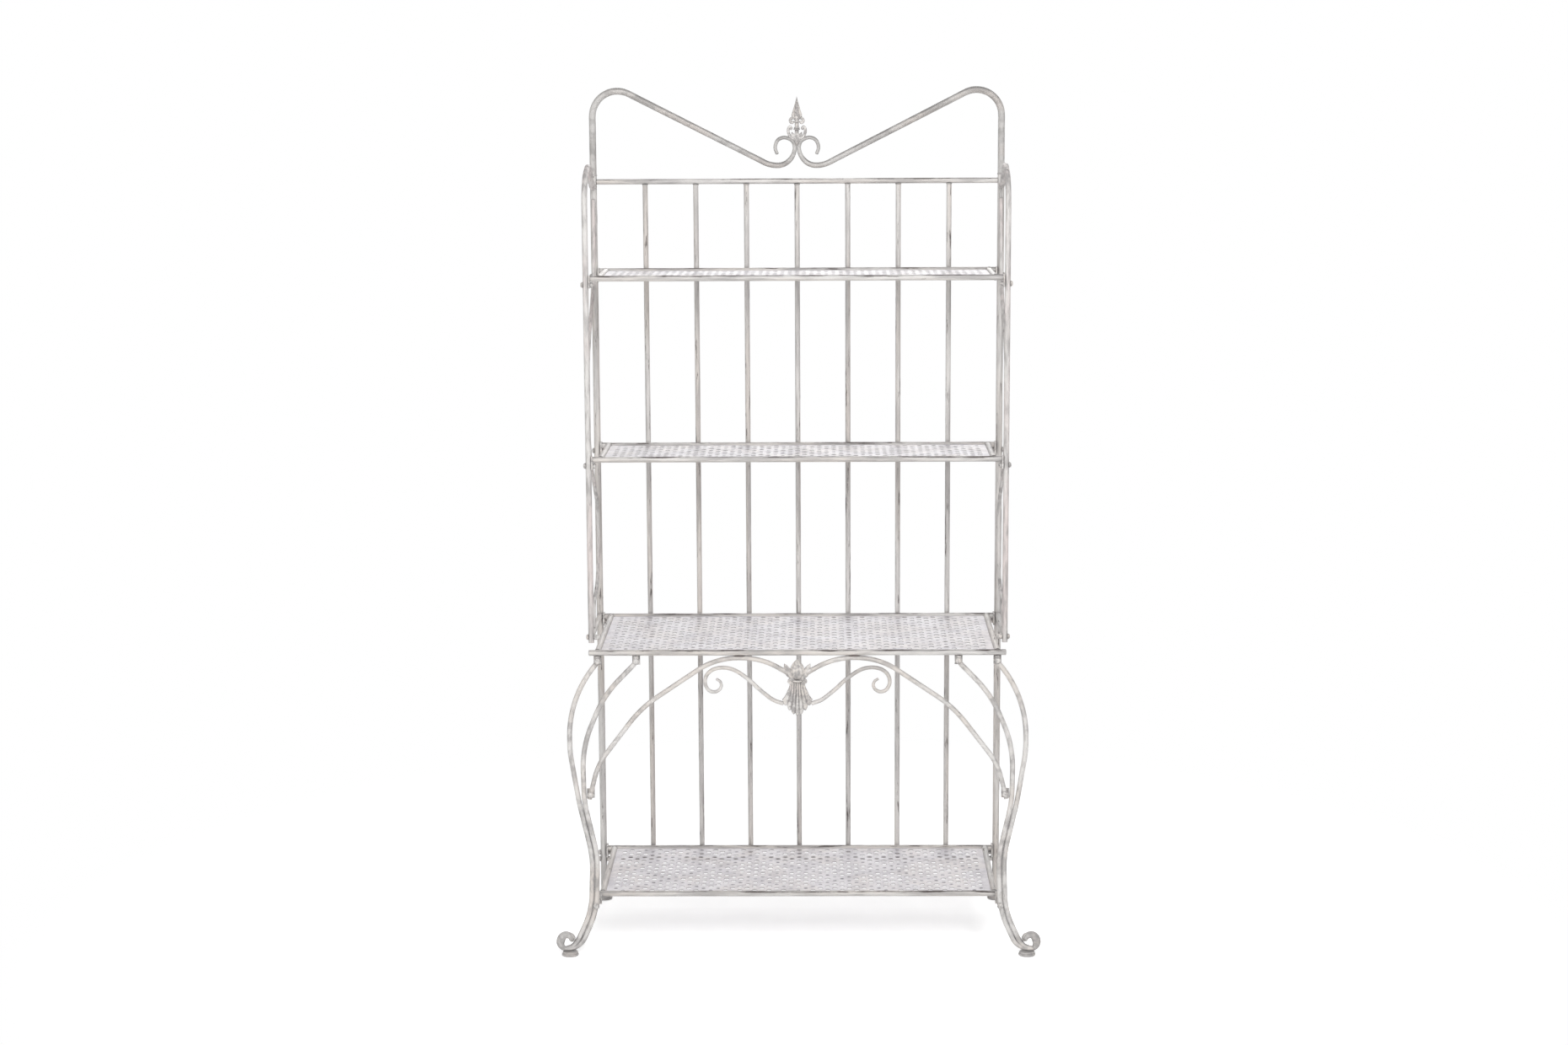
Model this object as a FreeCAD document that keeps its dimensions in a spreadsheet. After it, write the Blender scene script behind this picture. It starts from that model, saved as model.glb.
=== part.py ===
import FreeCAD, Part
import math
import os
from FreeCAD import Placement, Rotation, Vector

doc = FreeCAD.newDocument("TieredPlantStand")

# Driving sizes in millimetres (angles in degrees): alias, value, what it measures
SIZES = (
    ("total_height", 1800, "floor to the top of the crest"),
    ("upright_spacing", 877, "left to right upright, centre to centre"),
    ("frame_depth", 400, "upright line to front leg line, centre to centre"),
    ("top_rail_height", 1600, "floor to the back frame's top rail"),
    ("top_shelf_height", 1409, "floor to the rails of the top shelf"),
    ("middle_shelf_height", 1029, "floor to the rails of the middle shelf"),
    ("counter_height", 649, "floor to the rails of the counter"),
    ("bottom_shelf_height", 121, "floor to the rails of the bottom shelf"),
    ("upper_shelf_depth", 227, "back to front rail of the two upper shelves"),
    ("bottom_shelf_depth", 346, "back to front rail of the bottom shelf"),
    ("bottom_rail_drop", 28, "bottom shelf's rails down to the back frame's bottom rail"),
    ("side_rail_inset", 25.5, "upright line to a shelf's side rail"),
    ("upright_dia", 14.5, "back uprights and crest arms"),
    ("bar_dia", 11, "vertical bars of the back"),
    ("bar_pitch", 109, "spacing of the vertical bars"),
    ("back_rail_dia", 11.5, "top and bottom rails of the back frame"),
    ("shelf_rail_dia", 12, "rails round each shelf"),
    ("hoop_dia", 12, "side hoops and their bottom rails"),
    ("serpentine_dia", 8, "serpentine bar inside each side hoop"),
    ("leg_dia", 10.5, "front legs and their braces"),
    ("arch_dia", 10, "apron arches"),
    ("scroll_dia", 8.5, "apron scrolls"),
    ("curl_tip_dia", 8, "thin end of the crest curls"),
    ("tube_wall", 1.2, "uprights, back bars and shelf rails"),
    ("weld_gap", 0.2, "clearance left at each welded or bolted contact"),
    ("panel_thickness", 1.2, "perforated shelf sheets"),
    ("hole_dia", 11, "round holes in the sheets"),
    ("hole_pitch", 15.5, "hole columns, left to right"),
    ("hole_row_pitch", 27.5, "holes along one column, front to back"),
    ("panel_margin", 12, "sheet edge to the nearest hole centre"),
    ("crest_slope", 26, "fall of the crest arms, degrees"),
    ("hump_radius", 47, "bend at the crest's shoulders"),
    ("trough_radius", 37, "bend at the low point of the crest"),
    ("curl_radius", 20.5, "curl beside the finial"),
    ("curl_rise", 8, "end of the low bend up to the curl's middle"),
    ("crest_base_rise", 14, "top rail to the foot of a crest arm"),
    ("hoop_end_drop", 10, "top rail down to the hoop's bolted end"),
    ("hoop_step", 37, "upright to where a hoop starts to rise"),
    ("hoop_crown_reach", 120, "upright to the corner of a hoop's shoulder"),
    ("hoop_rise", 52, "hoop end up to the corner of its shoulder"),
    ("hoop_front_rise", 18, "hoop end up to the corner over its post"),
    ("hoop_bend", 70, "bends of the hoops"),
    ("serpentine_bend", 220, "swings of the serpentine bars"),
    ("serpentine_foot_bend", 40, "bend above a serpentine's foot"),
    ("junction_height", 330, "floor to where brace and arch reach the leg"),
    ("junction_reach", 37, "leg top line out to that junction"),
    ("knee_reach", 60, "leg top line out to the knee"),
    ("ankle_reach", 11, "leg top line out to the ankle"),
    ("ankle_lean", 4, "ankle out to the start of the foot"),
    ("brace_reach", 80, "leg top line in to the brace's top"),
    ("brace_knee_inset", 13, "leg top line in to the brace's upper bend"),
    ("brace_lean", 2, "brace's lower bend out past the junction"),
    ("rod_top_bend", 22, "legs and braces under the counter"),
    ("leg_bend", 240, "legs and braces down their lengths"),
    ("ankle_bend", 180, "legs and braces above the foot"),
    ("arch_foot_rise", 8, "junction up to the foot of an arch"),
    ("arch_bolt_rise", 18, "junction up to the bolt of an arch"),
    ("arch_bend", 150, "bends of the apron arches"),
    ("arch_haunch_bend", 250, "long bend half way up an arch"),
    ("scroll_seat", 12.5, "arch's top line down to where a scroll meets the arch"),
    ("scroll_root_bend", 50, "scroll beside the palmette"),
    ("scroll_rise_bend", 120, "scroll's long rising bend"),
    ("scroll_crown_bend", 60, "scroll under the arch"),
    ("scroll_curl_bend", 25, "first turn of a scroll's curl"),
    ("foot_dia", 36, "foot pads"),
    ("foot_thickness", 9, "foot pads"),
    ("foot_scroll_radius", 14.7, "curl at the front feet"),
    ("foot_scroll_reach", 503, "middle of the stand to the outside of a foot curl"),
    ("lug_thickness", 3, "bolting lugs"),
    ("lug_width", 16, "bolting lugs"),
    ("lug_drop", 20, "shelf rail line to the bottom of a lug"),
    ("lug_bolt_drop", 13, "shelf rail line down to the lug bolt"),
    ("bolt_dia", 6, "bolt and screw shanks"),
    ("bolt_play", 0.4, "bolt hole minus bolt"),
    ("hole_run_out", 2, "bolt hole past both ends of what it passes"),
    ("bolt_head_dia", 11, "domed heads"),
    ("bolt_head_top_dia", 7, "domed heads, at the top"),
    ("bolt_head_height", 4, "domed heads"),
    ("screw_depth", 22, "frame screws into a rod's end"),
    ("nut_across", 10, "hex nuts, flat to flat"),
    ("nut_height", 5, "hex nuts"),
    ("bolt_tail", 2, "bolt past its nut"),
    ("sleeve_dia", 11, "spacer sleeves"),
    ("palmette_thickness", 8, "cast palmette of the apron"),
    ("palmette_drop", 128, "counter's underside to the palmette's tip"),
    ("finial_thickness", 6, "cast finial"),
    ("finial_height", 80, "crest curls to the finial's tip"),
)
BAR_COUNT = 7
PLAIN_LINE_EVERY = 12  # hole columns between the sheets' unpunched diagonals

sheet = doc.addObject("Spreadsheet::Sheet", "Sizes")
for row, (alias, value, note) in enumerate(SIZES, start=1):
    sheet.set("A%d" % row, note)
    sheet.set("B%d" % row, str(value))
    sheet.setAlias("B%d" % row, alias)
doc.recompute()

nodes = []


def num(formula):
    return float(sheet.evalExpression(formula))


def keep(piece, label):
    piece.Label = label
    nodes.append(piece)
    return piece


def bind(piece, **formulas):
    for name, formula in formulas.items():
        piece.setExpression(name, formula)


def place(piece, base, axis=Vector(0, 0, 1)):
    # Puts a piece at a base point given as three formulas, with its own Z along axis
    piece.Placement = Placement(Vector(), Rotation(Vector(0, 0, 1), axis))
    for name, formula in zip("xyz", base):
        piece.setExpression("Placement.Base." + name, formula)


def cylinder(name, diameter, length, base, axis):
    piece = doc.addObject("Part::Cylinder", name)
    bind(piece, Radius="(%s) / 2" % diameter, Height=length)
    place(piece, base, axis)
    return piece


def tube(name, diameter, length, base, axis, holes=()):
    # A round tube open at both ends, with any bolt holes cut through it
    outside = cylinder(name + "_outside", diameter, length, base, axis)
    inside = cylinder(name + "_inside", f"{diameter} - 2 * Sizes.tube_wall", length, base, axis)
    return cut(name, outside, [inside, *holes])


def box(name, lengths, base):
    piece = doc.addObject("Part::Box", name)
    bind(piece, Length=lengths[0], Width=lengths[1], Height=lengths[2])
    place(piece, base)
    return piece


def group(name, pieces):
    piece = doc.addObject("Part::Compound", name)
    piece.Links = pieces
    return piece


def cut(name, base, tools):
    piece = doc.addObject("Part::Cut", name)
    piece.Base = base
    piece.Tool = tools[0] if len(tools) == 1 else group(name + "_tools", tools)
    return piece


ALONG_X, ALONG_Y, ALONG_Z = Vector(1, 0, 0), Vector(0, 1, 0), Vector(0, 0, 1)
SIDES = (("left", -1), ("right", 1))

# Lines that the pieces share, as formulas of the sheet
GAP = "Sizes.weld_gap"
UPRIGHT_X = "Sizes.upright_spacing / 2"
BACK_Y = "Sizes.frame_depth / 2"
LEG_Y = "-Sizes.frame_depth / 2"
SHELF_BACK_Y = f"{BACK_Y} - Sizes.bar_dia / 2 - Sizes.shelf_rail_dia / 2 - {GAP}"
HOOP_Y = f"{SHELF_BACK_Y} - Sizes.upper_shelf_depth"
SIDE_RAIL_X = f"{UPRIGHT_X} - Sizes.side_rail_inset"
BACK_LUG_X = f"{UPRIGHT_X} - Sizes.upright_dia / 2 - {GAP} - Sizes.lug_thickness"
FRONT_LUG_X = f"{UPRIGHT_X} - Sizes.hoop_dia / 2 - {GAP} - Sizes.lug_thickness"
COUNTER_UNDERSIDE = f"Sizes.counter_height - Sizes.shelf_rail_dia / 2 - {GAP}"
CREST_BASE = "Sizes.top_rail_height + Sizes.crest_base_rise"
BOTTOM_FRONT_Y = f"{SHELF_BACK_Y} - Sizes.bottom_shelf_depth"
BACK_RAIL_LOW = "Sizes.bottom_shelf_height - Sizes.bottom_rail_drop"

# Shelf name: rail height, front rail line and half length of the front rail
SHELVES = {
    "top_shelf": ("Sizes.top_shelf_height", HOOP_Y, f"{FRONT_LUG_X} - {GAP}"),
    "middle_shelf": ("Sizes.middle_shelf_height", HOOP_Y, f"{FRONT_LUG_X} - {GAP}"),
    "counter": ("Sizes.counter_height", LEG_Y, f"{FRONT_LUG_X} - {GAP}"),
    "bottom_shelf": ("Sizes.bottom_shelf_height", BOTTOM_FRONT_Y,
                     f"{SIDE_RAIL_X} + Sizes.shelf_rail_dia"),
}


def bent_line(points, radii):
    # Straight runs joined by tangent arcs, with one bend radius for each inner corner
    runs = [(b - a).Length for a, b in zip(points, points[1:])]
    arms = [((a - p).normalize(), (b - p).normalize())
            for a, p, b in zip(points, points[1:], points[2:])]
    halves = [back.getAngle(ahead) / 2 for back, ahead in arms]
    wanted = [0] + [radius / math.tan(half) for radius, half in zip(radii, halves)] + [0]
    shares = [min(1, 0.98 * run / max(wanted[i] + wanted[i + 1], 1e-9)) for i, run in enumerate(runs)]
    edges, start = [], points[0]
    for i, (corner, (back, ahead), half) in enumerate(zip(points[1:], arms, halves)):
        reach = wanted[i + 1] * min(shares[i], shares[i + 1])
        radius = reach * math.tan(half)
        enter, leave = corner + back * reach, corner + ahead * reach
        crown = corner + (back + ahead).normalize() * (radius / math.sin(half) - radius)
        edges += [Part.LineSegment(start, enter).toShape(), Part.Arc(enter, crown, leave).toShape()]
        start = leave
    return edges + [Part.LineSegment(start, points[-1]).toShape()]


def sweep(name, edges, diameters):
    # A round rod along the edges, tapering where it is given two diameters
    line = doc.addObject("Part::Feature", name + "_line")
    line.Shape = Part.Wire(edges)
    ends = ((edges[0], edges[0].FirstParameter), (edges[-1], edges[-1].LastParameter))
    sections = []
    for diameter, (edge, at) in zip(diameters, ends):
        section = doc.addObject("Part::Circle", name + "_section")
        bind(section, Radius="(%s) / 2" % diameter)
        turn = Rotation(Vector(0, 0, 1), edge.tangentAt(at))
        section.Placement = Placement(edge.valueAt(at), turn)
        sections.append(section)
    piece = doc.addObject("Part::Sweep", name)
    piece.Sections = sections
    piece.Spine = (line, ["Edge%d" % (i + 1) for i in range(len(edges))])
    piece.Solid = True
    return piece


def bent_rod(name, points, radii, diameter):
    return sweep(name, bent_line(points, radii), [diameter])


def front_points(sign, pairs):
    # Points of the leg plane, given as distance from the middle and height
    return [Vector(sign * x, num(LEG_Y), z) for x, z in pairs]


# Bolts, screws, nuts and lugs collect here and become group nodes at the end
fasteners = {name: [] for name in ("lug_bolts", "long_bolts", "leg_bolts", "frame_screws")}
nuts, nut_bores, sleeves, sleeve_bores = [], [], [], []
lugs = {"shelf_lugs": ([], []), "leg_lugs": ([], [])}
HOLE_DIA = "Sizes.bolt_dia + Sizes.bolt_play"


def bolt(kind, seat, inward, grip, nutted=True):
    # A bolt with its head on seat and its shank pointing inward; grip runs from seat to nut
    name = kind + "_piece"
    step = ["%d * " % int(part) for part in inward]
    tail = " + Sizes.nut_height + Sizes.bolt_tail" if nutted else ""
    shank = cylinder(name, "Sizes.bolt_dia", f"{grip} + {GAP}{tail}",
                     [f"{at} - {s}({GAP})" for at, s in zip(seat, step)], inward)
    head = doc.addObject("Part::Cone", name + "_head")
    bind(head, Radius1="Sizes.bolt_head_dia / 2", Radius2="Sizes.bolt_head_top_dia / 2",
         Height="Sizes.bolt_head_height")
    place(head, [f"{at} - {s}({GAP})" for at, s in zip(seat, step)], inward * -1)
    whole = doc.addObject("Part::Fuse", name + "_whole")
    whole.Base, whole.Tool = head, shank
    fasteners[kind].append(whole)
    if nutted:
        nut = doc.addObject("Part::Prism", "nut")
        nut.Polygon = 6
        bind(nut, Circumradius="Sizes.nut_across / sqrt(3)", Height="Sizes.nut_height - 0.5 * " + GAP)
        base = [f"{at} + {s}({grip} + {GAP} / 2)" for at, s in zip(seat, step)]
        place(nut, base, inward)
        nuts.append(nut)
        nut_bores.append(bolt_hole(seat, inward, grip + " + 3 * Sizes.nut_height"))


def bolt_hole(seat, inward, depth):
    step = ["%d * " % int(part) for part in inward]
    return cylinder("hole", HOLE_DIA, f"{depth} + 2 * Sizes.hole_run_out",
                    [f"{at} - {s}Sizes.hole_run_out" for at, s in zip(seat, step)], inward)


def signed(sign, formula):
    return f"{sign} * ({formula})"


def shelf_lug(sign, inner_x, y_start, y_length, height):
    lugs["shelf_lugs"][0].append(box("lug", (
        "Sizes.lug_thickness", y_length, "Sizes.lug_drop + Sizes.shelf_rail_dia / 2"), (
        signed(sign, inner_x + (" + Sizes.lug_thickness" if sign < 0 else "")),
        y_start, f"{height} - Sizes.lug_drop")))


def leg_lug(x, y, z_bottom, height):
    lugs["leg_lugs"][0].append(box("lug", (
        "Sizes.lug_width", "Sizes.lug_thickness", height), (
        f"{x} - Sizes.lug_width / 2", y, z_bottom)))


# Back frame: top and bottom rails with the seven bars between them
post_holes = {(post, side): [] for post in ("upright", "hoop") for side, _ in SIDES}
rail_half = f"{UPRIGHT_X} - Sizes.upright_dia / 2 - {GAP}"
for label, height in (("back_top_rail", "Sizes.top_rail_height"),
                      ("back_bottom_rail", BACK_RAIL_LOW)):
    bar = cylinder(label + "_bar", "Sizes.back_rail_dia", f"2 * ({rail_half})",
                   (f"-({rail_half})", BACK_Y, height), ALONG_X)
    ends = []
    for side, sign in SIDES:
        seat = (signed(sign, f"{UPRIGHT_X} + Sizes.upright_dia / 2"), BACK_Y, height)
        inward = Vector(-sign, 0, 0)
        bolt("frame_screws", seat, inward, "Sizes.upright_dia + Sizes.screw_depth", nutted=False)
        hole = bolt_hole(seat, inward, "Sizes.upright_dia + Sizes.screw_depth")
        post_holes["upright", side].append(hole)
        ends.append(hole)
    keep(cut(label, bar, ends), label)
bar_bottom = f"{BACK_RAIL_LOW} + Sizes.back_rail_dia / 2 + {GAP}"
bar_top = f"Sizes.top_rail_height - Sizes.back_rail_dia / 2 - {GAP}"
for i in range(BAR_COUNT):
    label = "back_bar_%d" % (i + 1)
    offset = i - (BAR_COUNT - 1) // 2
    keep(tube(label, "Sizes.bar_dia", f"{bar_top} - ({bar_bottom})",
              (f"{offset} * Sizes.bar_pitch", BACK_Y, bar_bottom), ALONG_Z), label)


def hole_centres(width, depth):
    # Staggered columns, left free along two sets of diagonals that meet at the front middle
    pitch, row_pitch = num("Sizes.hole_pitch"), num("Sizes.hole_row_pitch")
    margin = num("Sizes.panel_margin")
    columns = int((width / 2 - margin) / pitch)
    half_rows = int((depth - 2 * margin) / (row_pitch / 2))
    start = (depth - half_rows * row_pitch / 2) / 2
    for i in range(-columns, columns + 1):
        for j in range(half_rows + 1):
            on_line = (i - j) % PLAIN_LINE_EVERY == 0 or (i + j) % PLAIN_LINE_EVERY == 0
            if (i + j) % 2 == 0 and not on_line:
                yield i * pitch, start + j * row_pitch / 2


def perforated_panel(label, width, depth):
    # One holed face raised to the sheet's thickness; its origin is the front edge's middle
    half = width / 2
    corners = [Vector(x, y) for x, y in ((-half, 0), (half, 0), (half, depth), (-half, depth), (-half, 0))]
    outline = Part.makePolygon(corners)
    radius = num("Sizes.hole_dia / 2")
    holes = [Part.Wire(Part.makeCircle(radius, Vector(x, y))) for x, y in hole_centres(width, depth)]
    face = Part.Face([outline] + holes)
    face.validate()
    piece = doc.addObject("Part::Feature", label)
    piece.Shape = face.extrude(Vector(0, 0, num("Sizes.panel_thickness")))
    return piece


# Shelves: four rails and a perforated sheet each, with lugs at their bolted corners
for shelf, (height, front_y, front_half) in SHELVES.items():
    back_half = f"{BACK_LUG_X} - {GAP}"
    for end, y, half in (("front", front_y, front_half), ("back", SHELF_BACK_Y, back_half)):
        label = f"{shelf}_{end}_rail"
        keep(tube(label, "Sizes.shelf_rail_dia", f"2 * ({half})",
                  (f"-({half})", y, height), ALONG_X), label)
    inset = f"Sizes.shelf_rail_dia / 2 + {GAP}"
    side_length = f"({SHELF_BACK_Y}) - ({front_y}) - 2 * ({inset})"
    for side, sign in SIDES:
        label = f"{shelf}_{side}_rail"
        holes = []
        if shelf == "counter":
            seat = (signed(sign, f"{UPRIGHT_X} + Sizes.hoop_dia / 2"), HOOP_Y, height)
            grip = "Sizes.hoop_dia / 2 + Sizes.side_rail_inset + Sizes.shelf_rail_dia / 8"
            bolt("long_bolts", seat, Vector(-sign, 0, 0), grip, nutted=False)
            holes = [bolt_hole(seat, Vector(-sign, 0, 0), grip)]
            post_holes["hoop", side] += holes
            sleeve_bores += holes
            start = f"{SIDE_RAIL_X} + Sizes.shelf_rail_dia / 2 + {GAP}"
            length = f"{UPRIGHT_X} - Sizes.hoop_dia / 2 - {GAP} - ({start})"
            sleeves.append(cylinder("sleeve", "Sizes.sleeve_dia", length,
                                    (signed(sign, start), HOOP_Y, height), Vector(sign, 0, 0)))
        keep(tube(label, "Sizes.shelf_rail_dia", side_length,
                  (signed(sign, SIDE_RAIL_X), f"{front_y} + {inset}", height), ALONG_Y, holes), label)
        seat = (signed(sign, f"{UPRIGHT_X} + Sizes.upright_dia / 2"), BACK_Y,
                f"{height} - Sizes.lug_bolt_drop")
        grip = f"Sizes.upright_dia + {GAP} + Sizes.lug_thickness"
        bolt("lug_bolts", seat, Vector(-sign, 0, 0), grip)
        hole = bolt_hole(seat, Vector(-sign, 0, 0), grip)
        post_holes["upright", side].append(hole)
        lugs["shelf_lugs"][1].append(hole)
        reach = f"{BACK_Y} - ({SHELF_BACK_Y}) + Sizes.lug_width"
        shelf_lug(sign, BACK_LUG_X, f"{SHELF_BACK_Y} - Sizes.lug_width / 2", reach, height)
        if shelf in ("top_shelf", "middle_shelf"):
            seat = (signed(sign, f"{UPRIGHT_X} + Sizes.hoop_dia / 2"), HOOP_Y,
                    f"{height} - Sizes.lug_bolt_drop")
            grip = f"Sizes.hoop_dia + {GAP} + Sizes.lug_thickness"
            bolt("lug_bolts", seat, Vector(-sign, 0, 0), grip)
            hole = bolt_hole(seat, Vector(-sign, 0, 0), grip)
            post_holes["hoop", side].append(hole)
            lugs["shelf_lugs"][1].append(hole)
            shelf_lug(sign, FRONT_LUG_X, f"{HOOP_Y} - Sizes.lug_width / 2", "Sizes.lug_width", height)
    label = f"{shelf}_panel"
    width = num(f"2 * ({SIDE_RAIL_X} - ({inset}))")
    panel = perforated_panel(label, width, num(side_length))
    place(panel, ("0", f"{front_y} + {inset}", f"{height} - Sizes.panel_thickness / 2"))
    keep(panel, label)

# Side hoops with a bottom rail and a serpentine bar, in the plane of the uprights
upright_front = num(f"{BACK_Y} - Sizes.upright_dia / 2 - {GAP}")
hoop_y = num(HOOP_Y)
hoop_end_height = "Sizes.top_rail_height - Sizes.hoop_end_drop"
serpentine_rear = num(f"{BACK_Y} - Sizes.upright_dia / 2 - Sizes.serpentine_dia / 2 - {GAP}")
serpentine_front = num(f"{HOOP_Y} + Sizes.hoop_dia / 2 + Sizes.serpentine_dia / 2 + {GAP}")
counter_z = num("Sizes.counter_height")
SERPENTINE_FOOT = 0.3  # where its foot stands, as a share of the way from the post to the upright
for side, sign in SIDES:
    x = sign * num(UPRIGHT_X)
    end_z = num(hoop_end_height)
    hoop_outline = ((upright_front, end_z),
                    (upright_front - num("Sizes.hoop_step"), end_z),
                    (upright_front - num("Sizes.hoop_crown_reach"), end_z + num("Sizes.hoop_rise")),
                    (hoop_y, end_z + num("Sizes.hoop_front_rise")),
                    (hoop_y, counter_z - num("Sizes.hoop_dia")))
    hoop_points = [Vector(x, y, z) for y, z in hoop_outline]
    seat = (f"{x}", f"{BACK_Y} + Sizes.upright_dia / 2", hoop_end_height)
    bolt("frame_screws", seat, Vector(0, -1, 0), "Sizes.upright_dia + Sizes.screw_depth", nutted=False)
    hole = bolt_hole(seat, Vector(0, -1, 0), "Sizes.upright_dia + Sizes.screw_depth")
    post_holes["upright", side].append(hole)
    hoop = bent_rod(f"hoop_{side}_rod", hoop_points, [num("Sizes.hoop_bend")] * 3, "Sizes.hoop_dia")
    keep(cut(f"side_hoop_{side}", hoop, post_holes["hoop", side] + [hole]), f"side_hoop_{side}")

    label = f"side_bottom_rail_{side}"
    rail_start = f"{HOOP_Y} + Sizes.hoop_dia / 2 + {GAP}"
    rail_end = f"{BACK_Y} - Sizes.upright_dia / 2 - {GAP}"
    keep(cylinder(label, "Sizes.hoop_dia", f"{rail_end} - ({rail_start})",
                  (f"{x}", rail_start, "Sizes.counter_height"), ALONG_Y), label)

    # Each corner of the serpentine as its place front to back and its share of the hoop's height
    rise = end_z - counter_z
    foot_y = serpentine_front + SERPENTINE_FOOT * (serpentine_rear - serpentine_front)
    waves = [(serpentine_rear, 0.97), (serpentine_rear, 0.80), (serpentine_front, 0.62),
             (serpentine_front, 0.42), (serpentine_rear, 0.26), (serpentine_rear, 0.10), (foot_y, 0.06)]
    points = [Vector(x, y, counter_z + share * rise) for y, share in waves]
    points.append(Vector(x, foot_y, counter_z + num(f"Sizes.hoop_dia / 2 + {GAP}")))
    bends = [num("Sizes.serpentine_bend")] * 5 + [num("Sizes.serpentine_foot_bend")]
    label = f"side_serpentine_{side}"
    keep(bent_rod(label, points, bends, "Sizes.serpentine_dia"), label)

# Uprights with their bolt holes, standing on the rear foot pads
for side, sign in SIDES:
    label = f"back_upright_{side}"
    keep(tube(label, "Sizes.upright_dia", f"{CREST_BASE} - Sizes.foot_thickness - {GAP}",
              (signed(sign, UPRIGHT_X), BACK_Y, f"Sizes.foot_thickness + {GAP}"), ALONG_Z,
              post_holes["upright", side]), label)

# Crest arms: over a shoulder, down a straight slope and into a thinning curl
slope = math.radians(num("Sizes.crest_slope"))
hump, trough, curl = (num("Sizes.%s_radius" % name) for name in ("hump", "trough", "curl"))
upright_x, back_y = num(UPRIGHT_X), num(BACK_Y)
inner_x = num(f"(Sizes.upright_dia + Sizes.curl_tip_dia) / 4 + {GAP}")
bend_rise = math.tan(math.pi / 4 + slope / 2)  # corner to the end of its bend, for a radius of 1
corner_z = num("Sizes.total_height - Sizes.upright_dia / 2") + hump * (bend_rise - 1)
low_z = corner_z - (upright_x - inner_x) * math.tan(slope)
curl_centre = Vector(inner_x + curl, back_y, low_z + trough * bend_rise + num("Sizes.curl_rise"))
curl_top, curl_end = curl_centre.z + curl, curl_centre.z - curl
curl_out = inner_x + 2 * curl
for side, sign in SIDES:
    outline = ((upright_x, num(f"{CREST_BASE} + {GAP}")), (upright_x, corner_z), (inner_x, low_z),
               (inner_x, curl_top), (curl_out, curl_top), (curl_out, curl_end))
    edges = bent_line([Vector(sign * x, back_y, z) for x, z in outline], [hump, trough, curl, curl])
    label = f"crest_arm_{side}"
    arm = sweep(label + "_arm", edges[:3], ["Sizes.upright_dia"])
    tip = sweep(label + "_tip", edges[3:8], ["Sizes.upright_dia", "Sizes.curl_tip_dia"])
    whole = doc.addObject("Part::Fuse", label)
    whole.Base, whole.Tool = arm, tip
    keep(whole, label)


def mirrored_plate(label, half_edges, thickness, y):
    # A flat casting from the right half of its outline in X and Z, mirrored to the left
    half = Part.Wire(Part.__sortEdges__(half_edges))
    other = half.mirror(Vector(0, y, 0), Vector(1, 0, 0))
    face = Part.Face(Part.Wire(Part.__sortEdges__(half.Edges + other.Edges)))
    outline = doc.addObject("Part::Feature", label + "_outline")
    outline.Shape = face
    piece = doc.addObject("Part::Extrusion", label)
    piece.Base = outline
    piece.DirMode = "Custom"
    piece.Dir = Vector(0, 1, 0)
    piece.Solid = True
    bind(piece, LengthFwd=thickness + " / 2", LengthRev=thickness + " / 2")
    return keep(piece, label)


def arc(y, a, b, c):
    return Part.Arc(*(Vector(x, y, z) for x, z in (a, b, c))).toShape()


def line(y, a, b):
    return Part.LineSegment(*(Vector(x, y, z) for x, z in (a, b))).toShape()


# Finial: a cast spear with two pairs of side scrolls, cradled between the crest curls
cradle = inner_x + curl


def on_cradle(degrees):
    turn = math.radians(degrees)
    return cradle * (1 - math.cos(turn)), curl_centre.z + cradle * math.sin(turn)


seat_low, seat_mid, seat_end = (on_cradle(turn) for turn in (20, 41, 62))


def standing(x_share, z_share):
    # A point of the finial, in shares of its height above the curls
    height = num("Sizes.finial_height")
    return x_share * height, seat_end[1] + z_share * height


mirrored_plate("crest_finial", [
    line(back_y, (0, seat_low[1]), seat_low),
    arc(back_y, seat_low, seat_mid, seat_end),
    arc(back_y, seat_end, standing(0.206, 0.063), standing(0.194, 0.125)),
    arc(back_y, standing(0.194, 0.125), standing(0.262, 0.2), standing(0.181, 0.269)),
    line(back_y, standing(0.181, 0.269), standing(0.056, 0.294)),
    line(back_y, standing(0.056, 0.294), standing(0.1, 0.338)),
    arc(back_y, standing(0.1, 0.338), standing(0.181, 0.388), standing(0.112, 0.444)),
    arc(back_y, standing(0.112, 0.444), standing(0.148, 0.525), standing(0.112, 0.65)),
    line(back_y, standing(0.112, 0.65), standing(0, 1)),
], "Sizes.finial_thickness", back_y)

# Palmette: a bud over a scalloped shell, hung in the middle of the apron
leg_y = num(LEG_Y)
underside = num(COUNTER_UNDERSIDE)


def hung(x_share, drop_share):
    # A point of the palmette, in shares of its drop below the counter
    drop = num("Sizes.palmette_drop")
    return x_share * drop, underside - drop_share * drop


bud_side, waist, shell_side = hung(0.123, 0.242), hung(0.07, 0.383), hung(0.242, 0.773)
mirrored_plate("apron_palmette", [
    arc(leg_y, hung(0, 0.062), hung(0.09, 0.125), bud_side),
    arc(leg_y, bud_side, hung(0.105, 0.32), waist),
    arc(leg_y, waist, hung(0.117, 0.57), shell_side),
    arc(leg_y, shell_side, hung(0.223, 0.844), hung(0.164, 0.875)),
    arc(leg_y, hung(0.164, 0.875), hung(0.141, 0.938), hung(0.078, 0.945)),
    arc(leg_y, hung(0.078, 0.945), hung(0.047, 0.992), hung(0, 1)),
], "Sizes.palmette_thickness", leg_y)

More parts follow.
